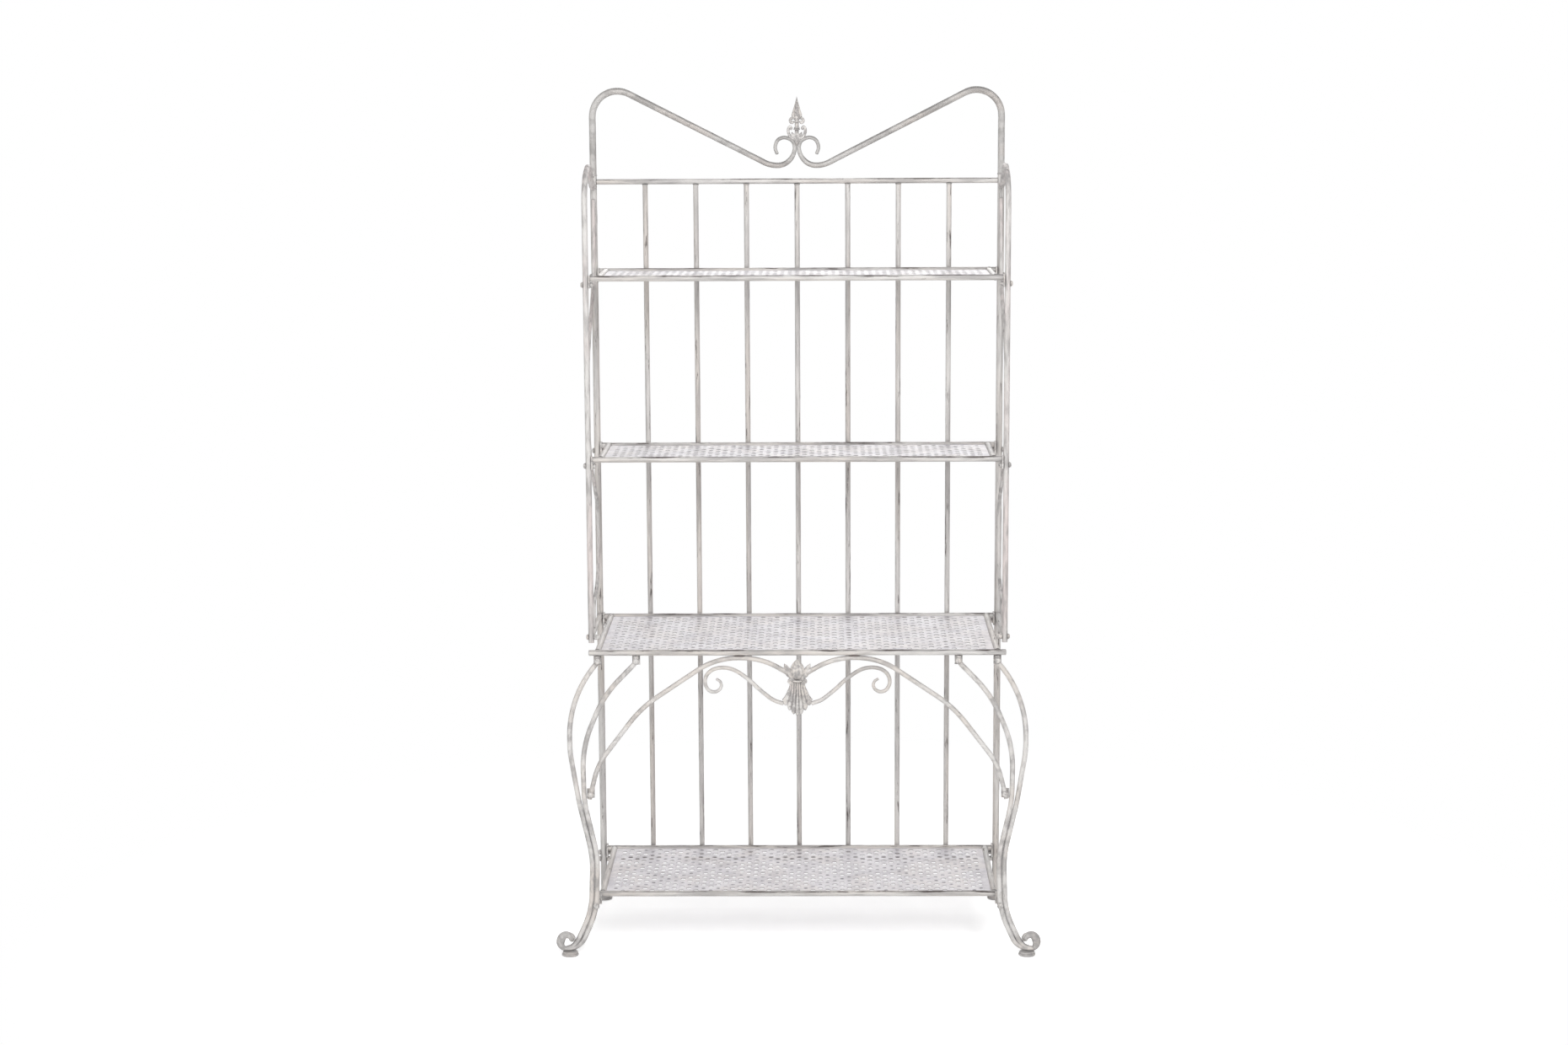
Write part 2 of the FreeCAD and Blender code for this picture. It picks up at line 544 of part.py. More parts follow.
# Front legs and braces: separate down to the junction, then side by side to the foot
ANKLE_TOP, ANKLE_END = 0.65, 0.29  # heights of the ankle, as shares of the junction's
FOOT_RUN, FOOT_SET = 2.6, 1.6  # outside of a foot curl in to its start and to the pad, in curl radii
LEG_STOP, CURL_STOP = 1.7, 1.3  # heights where a leg and a foot curl end, in curl radii
leg_top_x = num(SIDE_RAIL_X)
ankle_x = leg_top_x + num("Sizes.ankle_reach")
junction_z = num("Sizes.junction_height")
half_pair = num(f"Sizes.leg_dia / 2 + {GAP} / 2")
foot_z = num(f"Sizes.foot_thickness + {GAP} + Sizes.leg_dia / 2")
foot_out, foot_turn = num("Sizes.foot_scroll_reach"), num("Sizes.foot_scroll_radius")
pair = [(leg_top_x + num("Sizes.junction_reach"), junction_z),
        (ankle_x, ANKLE_TOP * junction_z),
        (ankle_x + num("Sizes.ankle_lean"), ANKLE_END * junction_z),
        (foot_out - FOOT_RUN * foot_turn, foot_z)]


def beside(points, shift):
    # The same corners moved sideways by shift, to the outside of the stand where positive
    ways = [Vector(b[0] - a[0], b[1] - a[1]).normalize() for a, b in zip(points, points[1:])]
    sides = [Vector(-way.y, way.x) for way in ways]
    joints = zip(points, sides[:1] + sides, sides + sides[-1:])
    moved = []
    for (x, z), before, after in joints:
        step = (before + after) * (shift / (1 + before.dot(after)))
        moved.append((x + step.x, z + step.y))
    return moved


def between(share):
    return junction_z + share * (underside - junction_z)


outer = beside(pair, half_pair)
inner = beside(pair, -half_pair)
fall = (outer[3][1] - outer[2][1]) / (outer[3][0] - outer[2][0])
leg_end_z = foot_z + LEG_STOP * foot_turn
leg_end = (outer[2][0] + (leg_end_z - outer[2][1]) / fall, leg_end_z)
knee_x = leg_top_x + num("Sizes.knee_reach")
leg_outline = [(leg_top_x, underside), (leg_top_x, between(0.955)), (knee_x, between(0.72)),
               (knee_x, between(0.35)), *outer[:3], leg_end]
brace_x = leg_top_x - num("Sizes.brace_reach")
brace_foot = (inner[2][0] + (foot_z - inner[2][1]) / fall, foot_z)
curl_in, curl_top = foot_out - 2 * foot_turn, foot_z + 2 * foot_turn
brace_outline = [(brace_x, underside), (brace_x, between(0.955)),
                 (leg_top_x - num("Sizes.brace_knee_inset"), between(0.735)),
                 (inner[0][0] + num("Sizes.brace_lean"), between(0.384)), *inner[:3], brace_foot,
                 (foot_out, foot_z), (foot_out, curl_top), (curl_in, curl_top),
                 (curl_in, foot_z + CURL_STOP * foot_turn)]
top_bend, bend, ankle_bend = (num("Sizes." + name) for name in ("rod_top_bend", "leg_bend", "ankle_bend"))
leg_bends = [top_bend, bend, bend, bend + half_pair, bend - half_pair, ankle_bend - half_pair]
brace_bends = [top_bend, bend, bend, bend - half_pair, bend + half_pair, ankle_bend + half_pair,
               FOOT_RUN * foot_turn, foot_turn, foot_turn, foot_turn / 2]

# Apron arches and scrolls, placed by shares of the leg line and of the rise above the junction
apex_z = num(f"{COUNTER_UNDERSIDE} - Sizes.arch_dia / 2")


def apron(x_share, z_share):
    return x_share * leg_top_x, junction_z + z_share * (apex_z - junction_z)


ARCH_LEAN = 1.06  # the arch meets the brace at a slant
arch_reach = ARCH_LEAN * num(f"(Sizes.leg_dia + Sizes.arch_dia) / 2 + {GAP}")
arch_outline = [(inner[0][0] - arch_reach, junction_z + num("Sizes.arch_foot_rise")),
                apron(1.005, 0.267), apron(0.782, 0.66), apron(0.407, 1), apron(0.18, 1), hung(0.146, 0.293)]
arch_bends = [num("Sizes." + name) for name in ("arch_bend", "arch_haunch_bend", "arch_bend", "arch_bend")]
crown_z = apex_z - num(f"Sizes.scroll_seat + (Sizes.arch_dia + Sizes.scroll_dia) / 2 + {GAP}")
scroll_root = (shell_side[0] + num(f"4 * {GAP}"), hung(0, 0.789)[1])
scroll_outline = [scroll_root, (0.14 * leg_top_x, hung(0, 0.758)[1]), apron(0.271, 0.875),
                  (0.363 * leg_top_x, crown_z), (0.472 * leg_top_x, crown_z), apron(0.472, 0.77),
                  apron(0.383, 0.77), apron(0.383, 0.872), apron(0.412, 0.872)]
curl_bend = num("Sizes.scroll_curl_bend")
scroll_bends = [num(f"Sizes.scroll_{name}_bend") for name in ("root", "rise", "crown")]
scroll_bends += [share * curl_bend for share in (1, 0.72, 0.6, 0.24)]

LEG_LUG_Y = f"{LEG_Y} + Sizes.leg_dia / 2 + {GAP}"
lug_grip = f"Sizes.leg_dia + {GAP} + Sizes.lug_thickness"
leg_seat_y = f"{LEG_Y} - Sizes.leg_dia / 2"
shelf_bolt_z = num("Sizes.bottom_shelf_height - Sizes.lug_bolt_drop")
BOLT_DOWN = 0.55  # a leg lug's bolt, as a share of the lug's height down from its top


def x_at(outline, z):
    # Where a rod's straight run passes a height
    for (x0, z0), (x1, z1) in zip(outline, outline[1:]):
        if min(z0, z1) <= z <= max(z0, z1) and z0 != z1:
            return x0 + (z - z0) * (x1 - x0) / (z1 - z0)


for side, sign in SIDES:
    holes = {"leg": [], "brace": [], "arch": []}
    top_bolt_z = underside - BOLT_DOWN * num("Sizes.lug_drop")
    arch_bolt_z = junction_z + num("Sizes.arch_bolt_rise")
    bolt_points = {"leg": (leg_top_x, top_bolt_z), "brace": (brace_x, top_bolt_z),
                   "arch": (x_at(arch_outline, arch_bolt_z), arch_bolt_z)}
    for rod, (x, z) in bolt_points.items():
        seat = (f"{sign * x}", leg_seat_y, f"{z}")
        bolt("leg_bolts", seat, ALONG_Y, lug_grip)
        hole = bolt_hole(seat, ALONG_Y, lug_grip)
        holes[rod].append(hole)
        lugs["leg_lugs"][1].append(hole)
        leg_lug(f"{sign * x}", LEG_LUG_Y, f"{z} - {1 - BOLT_DOWN} * Sizes.lug_drop", "Sizes.lug_drop")

    x = x_at(inner, shelf_bolt_z)
    seat = (f"{sign * x}", leg_seat_y, f"{shelf_bolt_z}")
    grip = f"({BOTTOM_FRONT_Y}) - Sizes.shelf_rail_dia / 2 - {GAP} - ({leg_seat_y})"
    bolt("long_bolts", seat, ALONG_Y, grip)
    hole = bolt_hole(seat, ALONG_Y, grip)
    holes["brace"].append(hole)
    lugs["leg_lugs"][1].append(hole)
    lug_y = f"{BOTTOM_FRONT_Y} - Sizes.shelf_rail_dia / 2 - {GAP} - Sizes.lug_thickness"
    leg_lug(f"{sign * x}", lug_y, f"{shelf_bolt_z} - Sizes.lug_drop + Sizes.lug_bolt_drop",
            "Sizes.lug_drop + Sizes.shelf_rail_dia / 2")
    sleeves.append(cylinder("sleeve", "Sizes.sleeve_dia", f"{lug_y} - ({LEG_LUG_Y}) - {GAP}",
                            (f"{sign * x}", LEG_LUG_Y, f"{shelf_bolt_z}"), ALONG_Y))
    sleeve_bores.append(hole)

    for label, rod, outline, bends, diameter in (
            ("front_leg", "leg", leg_outline, leg_bends, "Sizes.leg_dia"),
            ("leg_brace", "brace", brace_outline, brace_bends, "Sizes.leg_dia"),
            ("apron_arch", "arch", arch_outline, arch_bends, "Sizes.arch_dia")):
        body = bent_rod(f"{label}_{side}_rod", front_points(sign, outline), bends, diameter)
        keep(cut(f"{label}_{side}", body, holes[rod]), f"{label}_{side}")
    label = f"apron_scroll_{side}"
    keep(bent_rod(label, front_points(sign, scroll_outline), scroll_bends, "Sizes.scroll_dia"), label)

# Foot pads under the front curls and the uprights
foot_x = f"Sizes.foot_scroll_reach - {FOOT_SET} * Sizes.foot_scroll_radius"
for label, x, y in (("front_foot_pads", foot_x, LEG_Y), ("rear_foot_pads", UPRIGHT_X, BACK_Y)):
    pads = [cylinder("pad", "Sizes.foot_dia", "Sizes.foot_thickness", (signed(sign, x), y, "0"), ALONG_Z)
            for _, sign in SIDES]
    keep(group(label, pads), label)

# Lugs, bolts, nuts and sleeves, one group node for each kind
for label, (plates, holes) in lugs.items():
    keep(cut(label, group(label + "_plates", plates), holes), label)
for label, pieces in fasteners.items():
    keep(group(label, pieces), label)
keep(cut("hex_nuts", group("nut_blanks", nuts), nut_bores), "hex_nuts")
keep(cut("spacer_sleeves", group("sleeve_blanks", sleeves), sleeve_bores), "spacer_sleeves")

doc.recompute()
failed = [obj.Label for obj in doc.Objects if {"Invalid", "Error"} & set(obj.State)]
failed += [piece.Label for piece in nodes if piece.Shape.isNull() or not piece.Shape.isValid()]
if failed:
    raise RuntimeError("not built: " + ", ".join(failed))
os.makedirs("parts", exist_ok=True)
for piece in nodes:
    piece.Shape.exportStep("parts/%s.step" % piece.Label)
    print("%-28s solids %3d  volume %9.1f cm3" % (
        piece.Label, len(piece.Shape.Solids), piece.Shape.Volume / 1000))
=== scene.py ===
import math

import bmesh
import bpy
from mathutils import Matrix, Vector


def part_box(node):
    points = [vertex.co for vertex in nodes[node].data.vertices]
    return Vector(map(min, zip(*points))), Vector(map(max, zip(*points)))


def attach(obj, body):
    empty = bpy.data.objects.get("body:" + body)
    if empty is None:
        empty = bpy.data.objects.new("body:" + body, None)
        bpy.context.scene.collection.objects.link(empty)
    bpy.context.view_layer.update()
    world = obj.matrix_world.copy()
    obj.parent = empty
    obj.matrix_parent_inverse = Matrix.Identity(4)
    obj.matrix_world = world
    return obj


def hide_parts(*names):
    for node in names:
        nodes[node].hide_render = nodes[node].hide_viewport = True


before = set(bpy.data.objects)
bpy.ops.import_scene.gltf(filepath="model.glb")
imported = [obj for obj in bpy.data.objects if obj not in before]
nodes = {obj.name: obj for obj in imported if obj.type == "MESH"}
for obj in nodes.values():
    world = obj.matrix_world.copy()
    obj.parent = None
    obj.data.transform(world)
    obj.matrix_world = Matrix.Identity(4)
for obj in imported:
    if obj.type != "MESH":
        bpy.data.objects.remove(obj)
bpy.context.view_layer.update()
mm = 0.001
upAxis = (0, 0, 1)
sides = (("left", -1), ("right", 1))
shelves = ("top_shelf", "middle_shelf", "counter", "bottom_shelf")
longRails = ("front_rail", "back_rail", "top_rail", "bottom_rail")  # endings of the rails along the width
crossRails = ("left_rail", "right_rail")  # and of those from front to back
print("frame loaded:", len(nodes), "nodes")


# Small helpers for node trees
def addNode(tree, kind, values=None, **settings):
    node = tree.nodes.new(kind)
    for name, value in settings.items():
        setattr(node, name, value)
    for name, value in (values or {}).items():
        node.inputs[name].default_value = value
    return node


def feed(tree, *pairs):
    for output, socket in pairs:
        tree.links.new(output, socket)


def plug(tree, socket, value):
    # An output is linked to the socket, and a plain number is set on it
    if isinstance(value, bpy.types.NodeSocket):
        tree.links.new(value, socket)
    else:
        socket.default_value = value


def sums(tree, operation, first, second, clamp=False):
    node = addNode(tree, "ShaderNodeMath", operation=operation, use_clamp=clamp)
    plug(tree, node.inputs[0], first)
    plug(tree, node.inputs[1], second)
    return node.outputs[0]


def remap(tree, value, low, high):
    node = addNode(tree, "ShaderNodeMapRange", {"From Min": low, "From Max": high},
                   interpolation_type="SMOOTHSTEP")
    tree.links.new(value, node.inputs["Value"])
    return node.outputs["Result"]


def mixColours(tree, share, first, second, blend="MIX"):
    node = addNode(tree, "ShaderNodeMix", data_type="RGBA", blend_type=blend)
    for place, value in ((0, share), (6, first), (7, second)):  # its sockets for the share and two colours
        plug(tree, node.inputs[place], value)
    return node.outputs[2]


# Colours of the paint, its washes, painted shade and the iron under it
antiqueWhite, warmWhite = (0.69, 0.67, 0.65, 1), (0.66, 0.615, 0.575, 1)
greyWashAndShade, darkIron = (0.35, 0.335, 0.33, 1), (0.11, 0.095, 0.09, 1)
roseWhite = (0.69, 0.62, 0.60, 1)
lilacWhite, lilacWarm = (0.69, 0.665, 0.69, 1), (0.68, 0.64, 0.64, 1)
# The lilac wash is also the colour of painted shade on the sheets and dimples; the dimple dark is wash and
# painted shade in the dimples
lilacWashAndShade, dimpleWashAndShadeDark = (0.42, 0.40, 0.43, 1), (0.15, 0.14, 0.15, 1)
# The pale and warm greys are the white paint made darker, as painted shade on the crest, curls, welds and
# feet
shadedWhite, shadedWarmWhite = (0.54, 0.525, 0.51, 1), (0.52, 0.485, 0.46, 1)
# The edge grey colours wash and painted shade on the crest and in the holes; the wall grey is painted shade
# on the hole walls
washAndShadeGrey, holeWallShadeGrey = (0.23, 0.22, 0.215, 1), (0.36, 0.345, 0.36, 1)
# The hollow greys are painted shade in the recesses of the castings
recessShadeGrey, recessShadeDark = (0.45, 0.43, 0.42, 1), (0.24, 0.225, 0.22, 1)
burntIron, burntDark = (0.19, 0.16, 0.145, 1), (0.09, 0.075, 0.07, 1)

# Distressed paint: a brushed-on grey wash, chips down to dark iron, painted shade in the corners, and grime
# and painted shade on upward faces
agedPaintInputs = {
    "Grain": ("NodeSocketVector", (20, 20, 20)),  # noise cells for each metre along X, Y and Z
    "Wash": ("NodeSocketFloat", 0.5),
    "Chips": ("NodeSocketFloat", 0.3),
    "Ridge": ("NodeSocketFloat", 0.0),  # extra rubbing on upward faces
    "Upward Grime And Shade": ("NodeSocketFloat", 0.0),  # darker grey on upward faces: settled grime, and painted shade on the tops
    "Corner Shade": ("NodeSocketFloat", 0.6),  # painted shade: grey in corners, by ambient occlusion
    "Paint Colour": ("NodeSocketColor", antiqueWhite),
    "Warm Colour": ("NodeSocketColor", warmWhite),
    "Wash And Shade Colour": ("NodeSocketColor", greyWashAndShade),
    "Bare Colour": ("NodeSocketColor", darkIron),
}
agedPaintOutputs = {
    "Colour": "NodeSocketColor", "Roughness": "NodeSocketFloat", "Height": "NodeSocketFloat",
}
agedPaintLook = {
    # Scale, detail and roughness of each noise: in cells of the grain, and for specks in cells to the metre
    "brushed": (1.0, 5.0, 0.62), "streaks": (3.4, 3.0, 0.5), "drift": (0.45, 2.0, 0.5),
    "flakes": (2.4, 9.0, 0.7), "specks": (420.0, 3.0, 0.6),
    # Where each mask begins and where it is full
    "upwardFrom": (0.15, 0.85), "washFrom": (0.42, 0.62), "chipsFrom": (0.70, 0.78),
    "warmFrom": (0.40, 0.62),
    "cornerReach": 7 * mm, "cornerSamples": 8, "brushShare": 0.6, "streakShare": 0.4, "rubShare": 0.2,
    "speckShade": 0.90, "speckRange": 0.16, "roughness": 0.46, "washRoughness": 0.16, "chipRoughness": 0.2,
    "speckHeight": 0.25, "brushHeight": 0.5,
}


def buildAgedPaint(look):
    group = bpy.data.node_groups.new("agedPaint", "ShaderNodeTree")
    for name, (kind, value) in agedPaintInputs.items():
        group.interface.new_socket(name, in_out="INPUT", socket_type=kind).default_value = value
    for name, kind in agedPaintOutputs.items():
        group.interface.new_socket(name, in_out="OUTPUT", socket_type=kind)
    enter = addNode(group, "NodeGroupInput").outputs
    leave = addNode(group, "NodeGroupOutput").inputs
    place = addNode(group, "ShaderNodeTexCoord").outputs["Object"]
    stretch = addNode(group, "ShaderNodeVectorMath", operation="MULTIPLY")
    feed(group, (place, stretch.inputs[0]), (enter["Grain"], stretch.inputs[1]))

    def plus(first, second, clamp=False):
        return sums(group, "ADD", first, second, clamp)

    def times(first, second):
        return sums(group, "MULTIPLY", first, second)

    def noise(layer, source):
        values = dict(zip(("Scale", "Detail", "Roughness"), look[layer]))
        node = addNode(group, "ShaderNodeTexNoise", values)
        group.links.new(source, node.inputs["Vector"])
        return node.outputs["Fac"]

    grain = stretch.outputs[0]
    brushed, streaks, flakes = noise("brushed", grain), noise("streaks", grain), noise("flakes", grain)
    drift, specks = noise("drift", grain), noise("specks", place)
    normal = addNode(group, "ShaderNodeSeparateXYZ")
    group.links.new(addNode(group, "ShaderNodeNewGeometry").outputs["Normal"], normal.inputs[0])
    upward = remap(group, normal.outputs["Z"], *look["upwardFrom"])
    corner = addNode(group, "ShaderNodeAmbientOcclusion", {"Distance": look["cornerReach"]},
                     samples=look["cornerSamples"])
    # Painted shade: the colour darkens where ambient occlusion finds corners and gaps
    cornerShade = times(sums(group, "SUBTRACT", 1.0, corner.outputs["AO"]), enter["Corner Shade"])

    coats = plus(times(brushed, look["brushShare"]), times(streaks, look["streakShare"]))
    washAndShade = times(remap(group, coats, *look["washFrom"]), enter["Wash"])
    # The wash mask also carries the painted shade in corners and on upward faces, in the wash colour
    washAndShade = plus(plus(washAndShade, times(upward, enter["Upward Grime And Shade"])), cornerShade, clamp=True)
    rub = times(plus(enter["Chips"], times(upward, enter["Ridge"])), look["rubShare"])
    chips = remap(group, plus(flakes, rub), *look["chipsFrom"])
    warm = remap(group, drift, *look["warmFrom"])
    coat = mixColours(group, warm, enter["Paint Colour"], enter["Warm Colour"])
    washed = mixColours(group, washAndShade, coat, enter["Wash And Shade Colour"])
    shade = plus(times(specks, look["speckRange"]), look["speckShade"])
    shadeColour = addNode(group, "ShaderNodeCombineColor")
    feed(group, *((shade, socket) for socket in shadeColour.inputs))
    speckled = mixColours(group, 1.0, washed, shadeColour.outputs[0], "MULTIPLY")
    feed(group, (mixColours(group, chips, speckled, enter["Bare Colour"]), leave["Colour"]))
    rough = plus(look["roughness"], times(washAndShade, look["washRoughness"]))
    feed(group, (plus(rough, times(chips, look["chipRoughness"])), leave["Roughness"]))
    height = sums(group, "SUBTRACT", times(specks, look["speckHeight"]), chips)
    feed(group, (plus(height, times(brushed, look["brushHeight"])), leave["Height"]))
    return group


agedPaint = buildAgedPaint(agedPaintLook)
finishes = {
    "barPaint": {"Grain": (60, 60, 5), "Wash": 0.56, "Chips": 0.68, "Corner Shade": 0.8},
    "railPaint": {"Grain": (5, 60, 60), "Wash": 0.75, "Chips": 0.32, "Ridge": 0.75, "Upward Grime And Shade": 0.38,
                  "Corner Shade": 0.8},
    "sideRailPaint": {"Grain": (60, 7, 60), "Wash": 0.45, "Chips": 0.28, "Ridge": 0.3, "Upward Grime And Shade": 0.15,
                      "Corner Shade": 0.8},
    "hoopPaint": {"Grain": (60, 24, 9), "Wash": 0.75, "Chips": 0.28, "Ridge": 0.35, "Upward Grime And Shade": 0.3,
                  "Corner Shade": 0.9, "Warm Colour": roseWhite},
    "legPaint": {"Grain": (24, 60, 18), "Wash": 0.8, "Chips": 0.26, "Ridge": 0.3, "Upward Grime And Shade": 0.35,
                 "Corner Shade": 0.9},
    "archPaint": {"Grain": (13, 60, 34), "Wash": 0.65, "Chips": 0.28, "Ridge": 0.35, "Upward Grime And Shade": 0.3,
                  "Corner Shade": 0.9},
    # The crest takes the darker white and a darker wash grey, painted shade, with grime and painted shade
    # on its upward faces
    "crestShadedPaint": {"Grain": (13, 60, 26), "Wash": 0.55, "Chips": 0.26, "Ridge": 0.3, "Upward Grime And Shade": 0.8,
                   "Corner Shade": 0.9, "Paint Colour": shadedWhite, "Warm Colour": shadedWarmWhite, "Wash And Shade Colour": washAndShadeGrey},
    # Curls and welds take the darker white, painted shade
    "curlShadedPaint": {"Grain": (45, 45, 45), "Wash": 0.85, "Chips": 0.34, "Ridge": 0.3, "Upward Grime And Shade": 0.3,
                  "Corner Shade": 1.0, "Paint Colour": shadedWhite, "Warm Colour": shadedWarmWhite},
    "castPaint": {"Grain": (60, 60, 60), "Wash": 0.95, "Chips": 0.3, "Ridge": 0.3, "Upward Grime And Shade": 0.3,
                  "Corner Shade": 1.1},
    # Painted shade in the recesses of the castings
    "recessPaint": {"Grain": (60, 60, 60), "Wash": 0.9, "Chips": 0.3, "Corner Shade": 0.5,
                    "Paint Colour": recessShadeGrey, "Warm Colour": recessShadeGrey, "Wash And Shade Colour": recessShadeDark},
    "sheetPaint": {"Grain": (30, 30, 30), "Wash": 0.5, "Chips": 0.24, "Corner Shade": 0.6,
                   "Paint Colour": lilacWhite, "Warm Colour": lilacWarm, "Wash And Shade Colour": lilacWashAndShade},
    # Dimples: dark wash and painted shade
    "dimpleWashAndShadePaint": {"Grain": (60, 60, 60), "Wash": 0.9, "Chips": 0.6, "Corner Shade": 1.2,
                    "Paint Colour": lilacWashAndShade, "Warm Colour": lilacWashAndShade, "Wash And Shade Colour": dimpleWashAndShadeDark},
    # Hole walls: painted shade in the holes
    "holeWallShadePaint": {"Grain": (90, 90, 90), "Wash": 0.8, "Chips": 0.4, "Corner Shade": 0.3,
                  "Paint Colour": holeWallShadeGrey, "Warm Colour": holeWallShadeGrey, "Wash And Shade Colour": washAndShadeGrey},
    "hardwarePaint": {"Grain": (90, 90, 90), "Wash": 0.9, "Chips": 0.55, "Corner Shade": 1.0},
    # The feet take the darker white, painted shade
    "footShadedPaint": {"Grain": (50, 50, 50), "Wash": 0.85, "Chips": 0.4, "Upward Grime And Shade": 0.3, "Corner Shade": 0.8,
                  "Paint Colour": shadedWhite, "Warm Colour": shadedWarmWhite},
    # The burnt paint on the arch crowns is weld and painted shadow
    "burntPaint": {"Grain": (40, 90, 90), "Wash": 0.8, "Chips": 0.5, "Corner Shade": 0.6,
                   "Paint Colour": burntIron, "Warm Colour": burntIron, "Wash And Shade Colour": burntDark},
}
coatLook = {"bumpStrength": 0.5, "bumpDepth": 0.5 * mm, "shine": 0.35}


def agedMaterial(name, finish, look):
    material = bpy.data.materials.new(name)
    material.use_nodes = True
    tree = material.node_tree
    shader = tree.nodes["Principled BSDF"]
    usual = {socket: value for socket, (kind, value) in agedPaintInputs.items()}
    paint = addNode(tree, "ShaderNodeGroup", {**usual, **finish}, node_tree=agedPaint)
    bump = addNode(tree, "ShaderNodeBump",
                   {"Strength": look["bumpStrength"], "Distance": look["bumpDepth"]})
    feed(tree, (paint.outputs["Colour"], shader.inputs["Base Color"]),
         (paint.outputs["Roughness"], shader.inputs["Roughness"]),
         (paint.outputs["Height"], bump.inputs["Height"]),
         (bump.outputs["Normal"], shader.inputs["Normal"]))
    shader.inputs["Specular IOR Level"].default_value = look["shine"]
    return material


materials = {name: agedMaterial(name, finish, coatLook) for name, finish in finishes.items()}


def startingWith(*beginnings):
    return [name for name in nodes if name.startswith(beginnings)]


def endingWith(endings):
    return [name for name in nodes if name.endswith(endings)]


def dress(material, names):
    for name in names:
        for holder in nodes[name].material_slots:
            holder.material = materials[material]


dress("barPaint", startingWith("back_bar", "back_upright"))
dress("railPaint", endingWith(longRails))
dress("sideRailPaint", endingWith(crossRails) + startingWith("side_bottom_rail"))
dress("hoopPaint", startingWith("side_hoop", "side_serpentine"))
dress("legPaint", startingWith("front_leg", "leg_brace"))
dress("archPaint", startingWith("apron_arch", "apron_scroll"))
dress("crestShadedPaint", startingWith("crest_arm"))
dress("sheetPaint", endingWith("_panel"))
dress("castPaint", ["crest_finial", "apron_palmette"])  # under the castings that stand for them
dress("hardwarePaint", ["shelf_lugs", "leg_lugs", "lug_bolts", "long_bolts", "leg_bolts", "frame_screws",
                        "hex_nuts", "spacer_sleeves"])
dress("footShadedPaint", endingWith("_foot_pads"))
print("paint finishes:", len(materials))


# Mesh helpers: lathe rings, rods along a line, and reliefs
joinWithin = 1e-6  # points nearer to each other than this, in metres, become one


def finishPiece(name, shape, paints, slot, *replaced):
    bmesh.ops.remove_doubles(shape, verts=shape.verts, dist=joinWithin)
    bmesh.ops.recalc_face_normals(shape, faces=shape.faces)
    mesh = bpy.data.meshes.new(name)
    shape.to_mesh(mesh)
    shape.free()
    mesh.shade_smooth()
    for paint in paints.split():
        mesh.materials.append(materials[paint])
    piece = bpy.data.objects.new(name, mesh)
    bpy.context.scene.collection.objects.link(piece)
    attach(piece, "root")
    if replaced:
        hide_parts(*replaced)


def toMetres(pairs):
    return [(first * mm, second * mm) for first, second in pairs]


def lathe(shape, profile, centre, axis, segments):
    # Turns (radius, height) pairs about an axis through centre
    turn = Vector(upAxis).rotation_difference(Vector(axis)).to_matrix()
    rings = []
    for radius, height in profile:
        ring = []
        for i in range(segments if radius > 0 else 1):
            angle = 2 * math.pi * i / segments
            point = Vector((radius * math.cos(angle), radius * math.sin(angle), height))
            ring.append(shape.verts.new(Vector(centre) + turn @ point))
        rings.append(ring)
    for low, high in zip(rings, rings[1:]):
        for i in range(segments):
            j = (i + 1) % segments
            corners = [low[i % len(low)], low[j % len(low)], high[j % len(high)], high[i % len(high)]]
            unique = list(dict.fromkeys(corners))
            if len(unique) > 2:
                shape.faces.new(unique)


def ringSection(radius, half, steps=8):
    # The round section of a ring, as a profile for the lathe
    turns = [2 * math.pi * k / steps for k in range(steps + 1)]
    return [(radius + half * math.cos(a), half * math.sin(a)) for a in turns]


def joinRings(shape, rings):
    # A closed skin over rings that have equally many points
    count = len(rings[0])
    for low, high in zip(rings, rings[1:]):
        for k in range(count):
            j = (k + 1) % count
            shape.faces.new((low[k], low[j], high[j], high[k]))
    shape.faces.new(rings[0])
    shape.faces.new(rings[-1])


endRise, endRounding = 0.6, (0.45, 0.75, 0.92, 0.99)  # a rod end's height in radii, and the rings on it


def rod(shape, points, radii, squash=1.0, segments=14):
    # A closed rod with rounded ends through points, with a radius at each and its depth (Y) squashed
    points, radii = list(points), list(radii)
    for end, beside, before in ((0, 1, True), (-1, -2, False)):
        centre, radius = points[end], radii[end]
        way = (centre - points[beside]).normalized() * radius * endRise
        for share in endRounding:
            place = 0 if before else len(points)
            points.insert(place, centre + way * share)
            radii.insert(place, radius * math.sqrt(1 - share ** 2))
    rings = []
    for i, point in enumerate(points):
        along = (points[min(i + 1, len(points) - 1)] - points[max(i - 1, 0)]).normalized()
        across = along.cross(Vector((0, 1, 0))).normalized()
        ring = []
        for k in range(segments):
            angle = 2 * math.pi * k / segments
            offset = across * math.cos(angle) + Vector((0, squash * math.sin(angle), 0))
            ring.append(shape.verts.new(point + offset * radii[i]))
        rings.append(ring)
    joinRings(shape, rings)


def smoothLine(points, steps=8):
    # A rounded line that passes through every point
    padded = [2 * points[0] - points[1], *points, 2 * points[-1] - points[-2]]
    line = []
    for a, b, c, d in zip(padded, padded[1:], padded[2:], padded[3:]):
        for i in range(steps):
            t = i / steps
            line.append(0.5 * (2 * b + (c - a) * t + (2 * a - 5 * b + 4 * c - d) * t ** 2
                               + (3 * b - a - 3 * c + d) * t ** 3))
    return line + [points[-1]]


def sideLine(points, sign, y, steps=8):
    # A smooth line through right-hand (x, z) points in millimetres, mirrored where sign is -1
    return smoothLine([Vector((sign * x * mm, y, z * mm)) for x, z in points], steps)


def evenSteps(start, end, count):
    return [start.lerp(end, i / count) for i in range(count)]


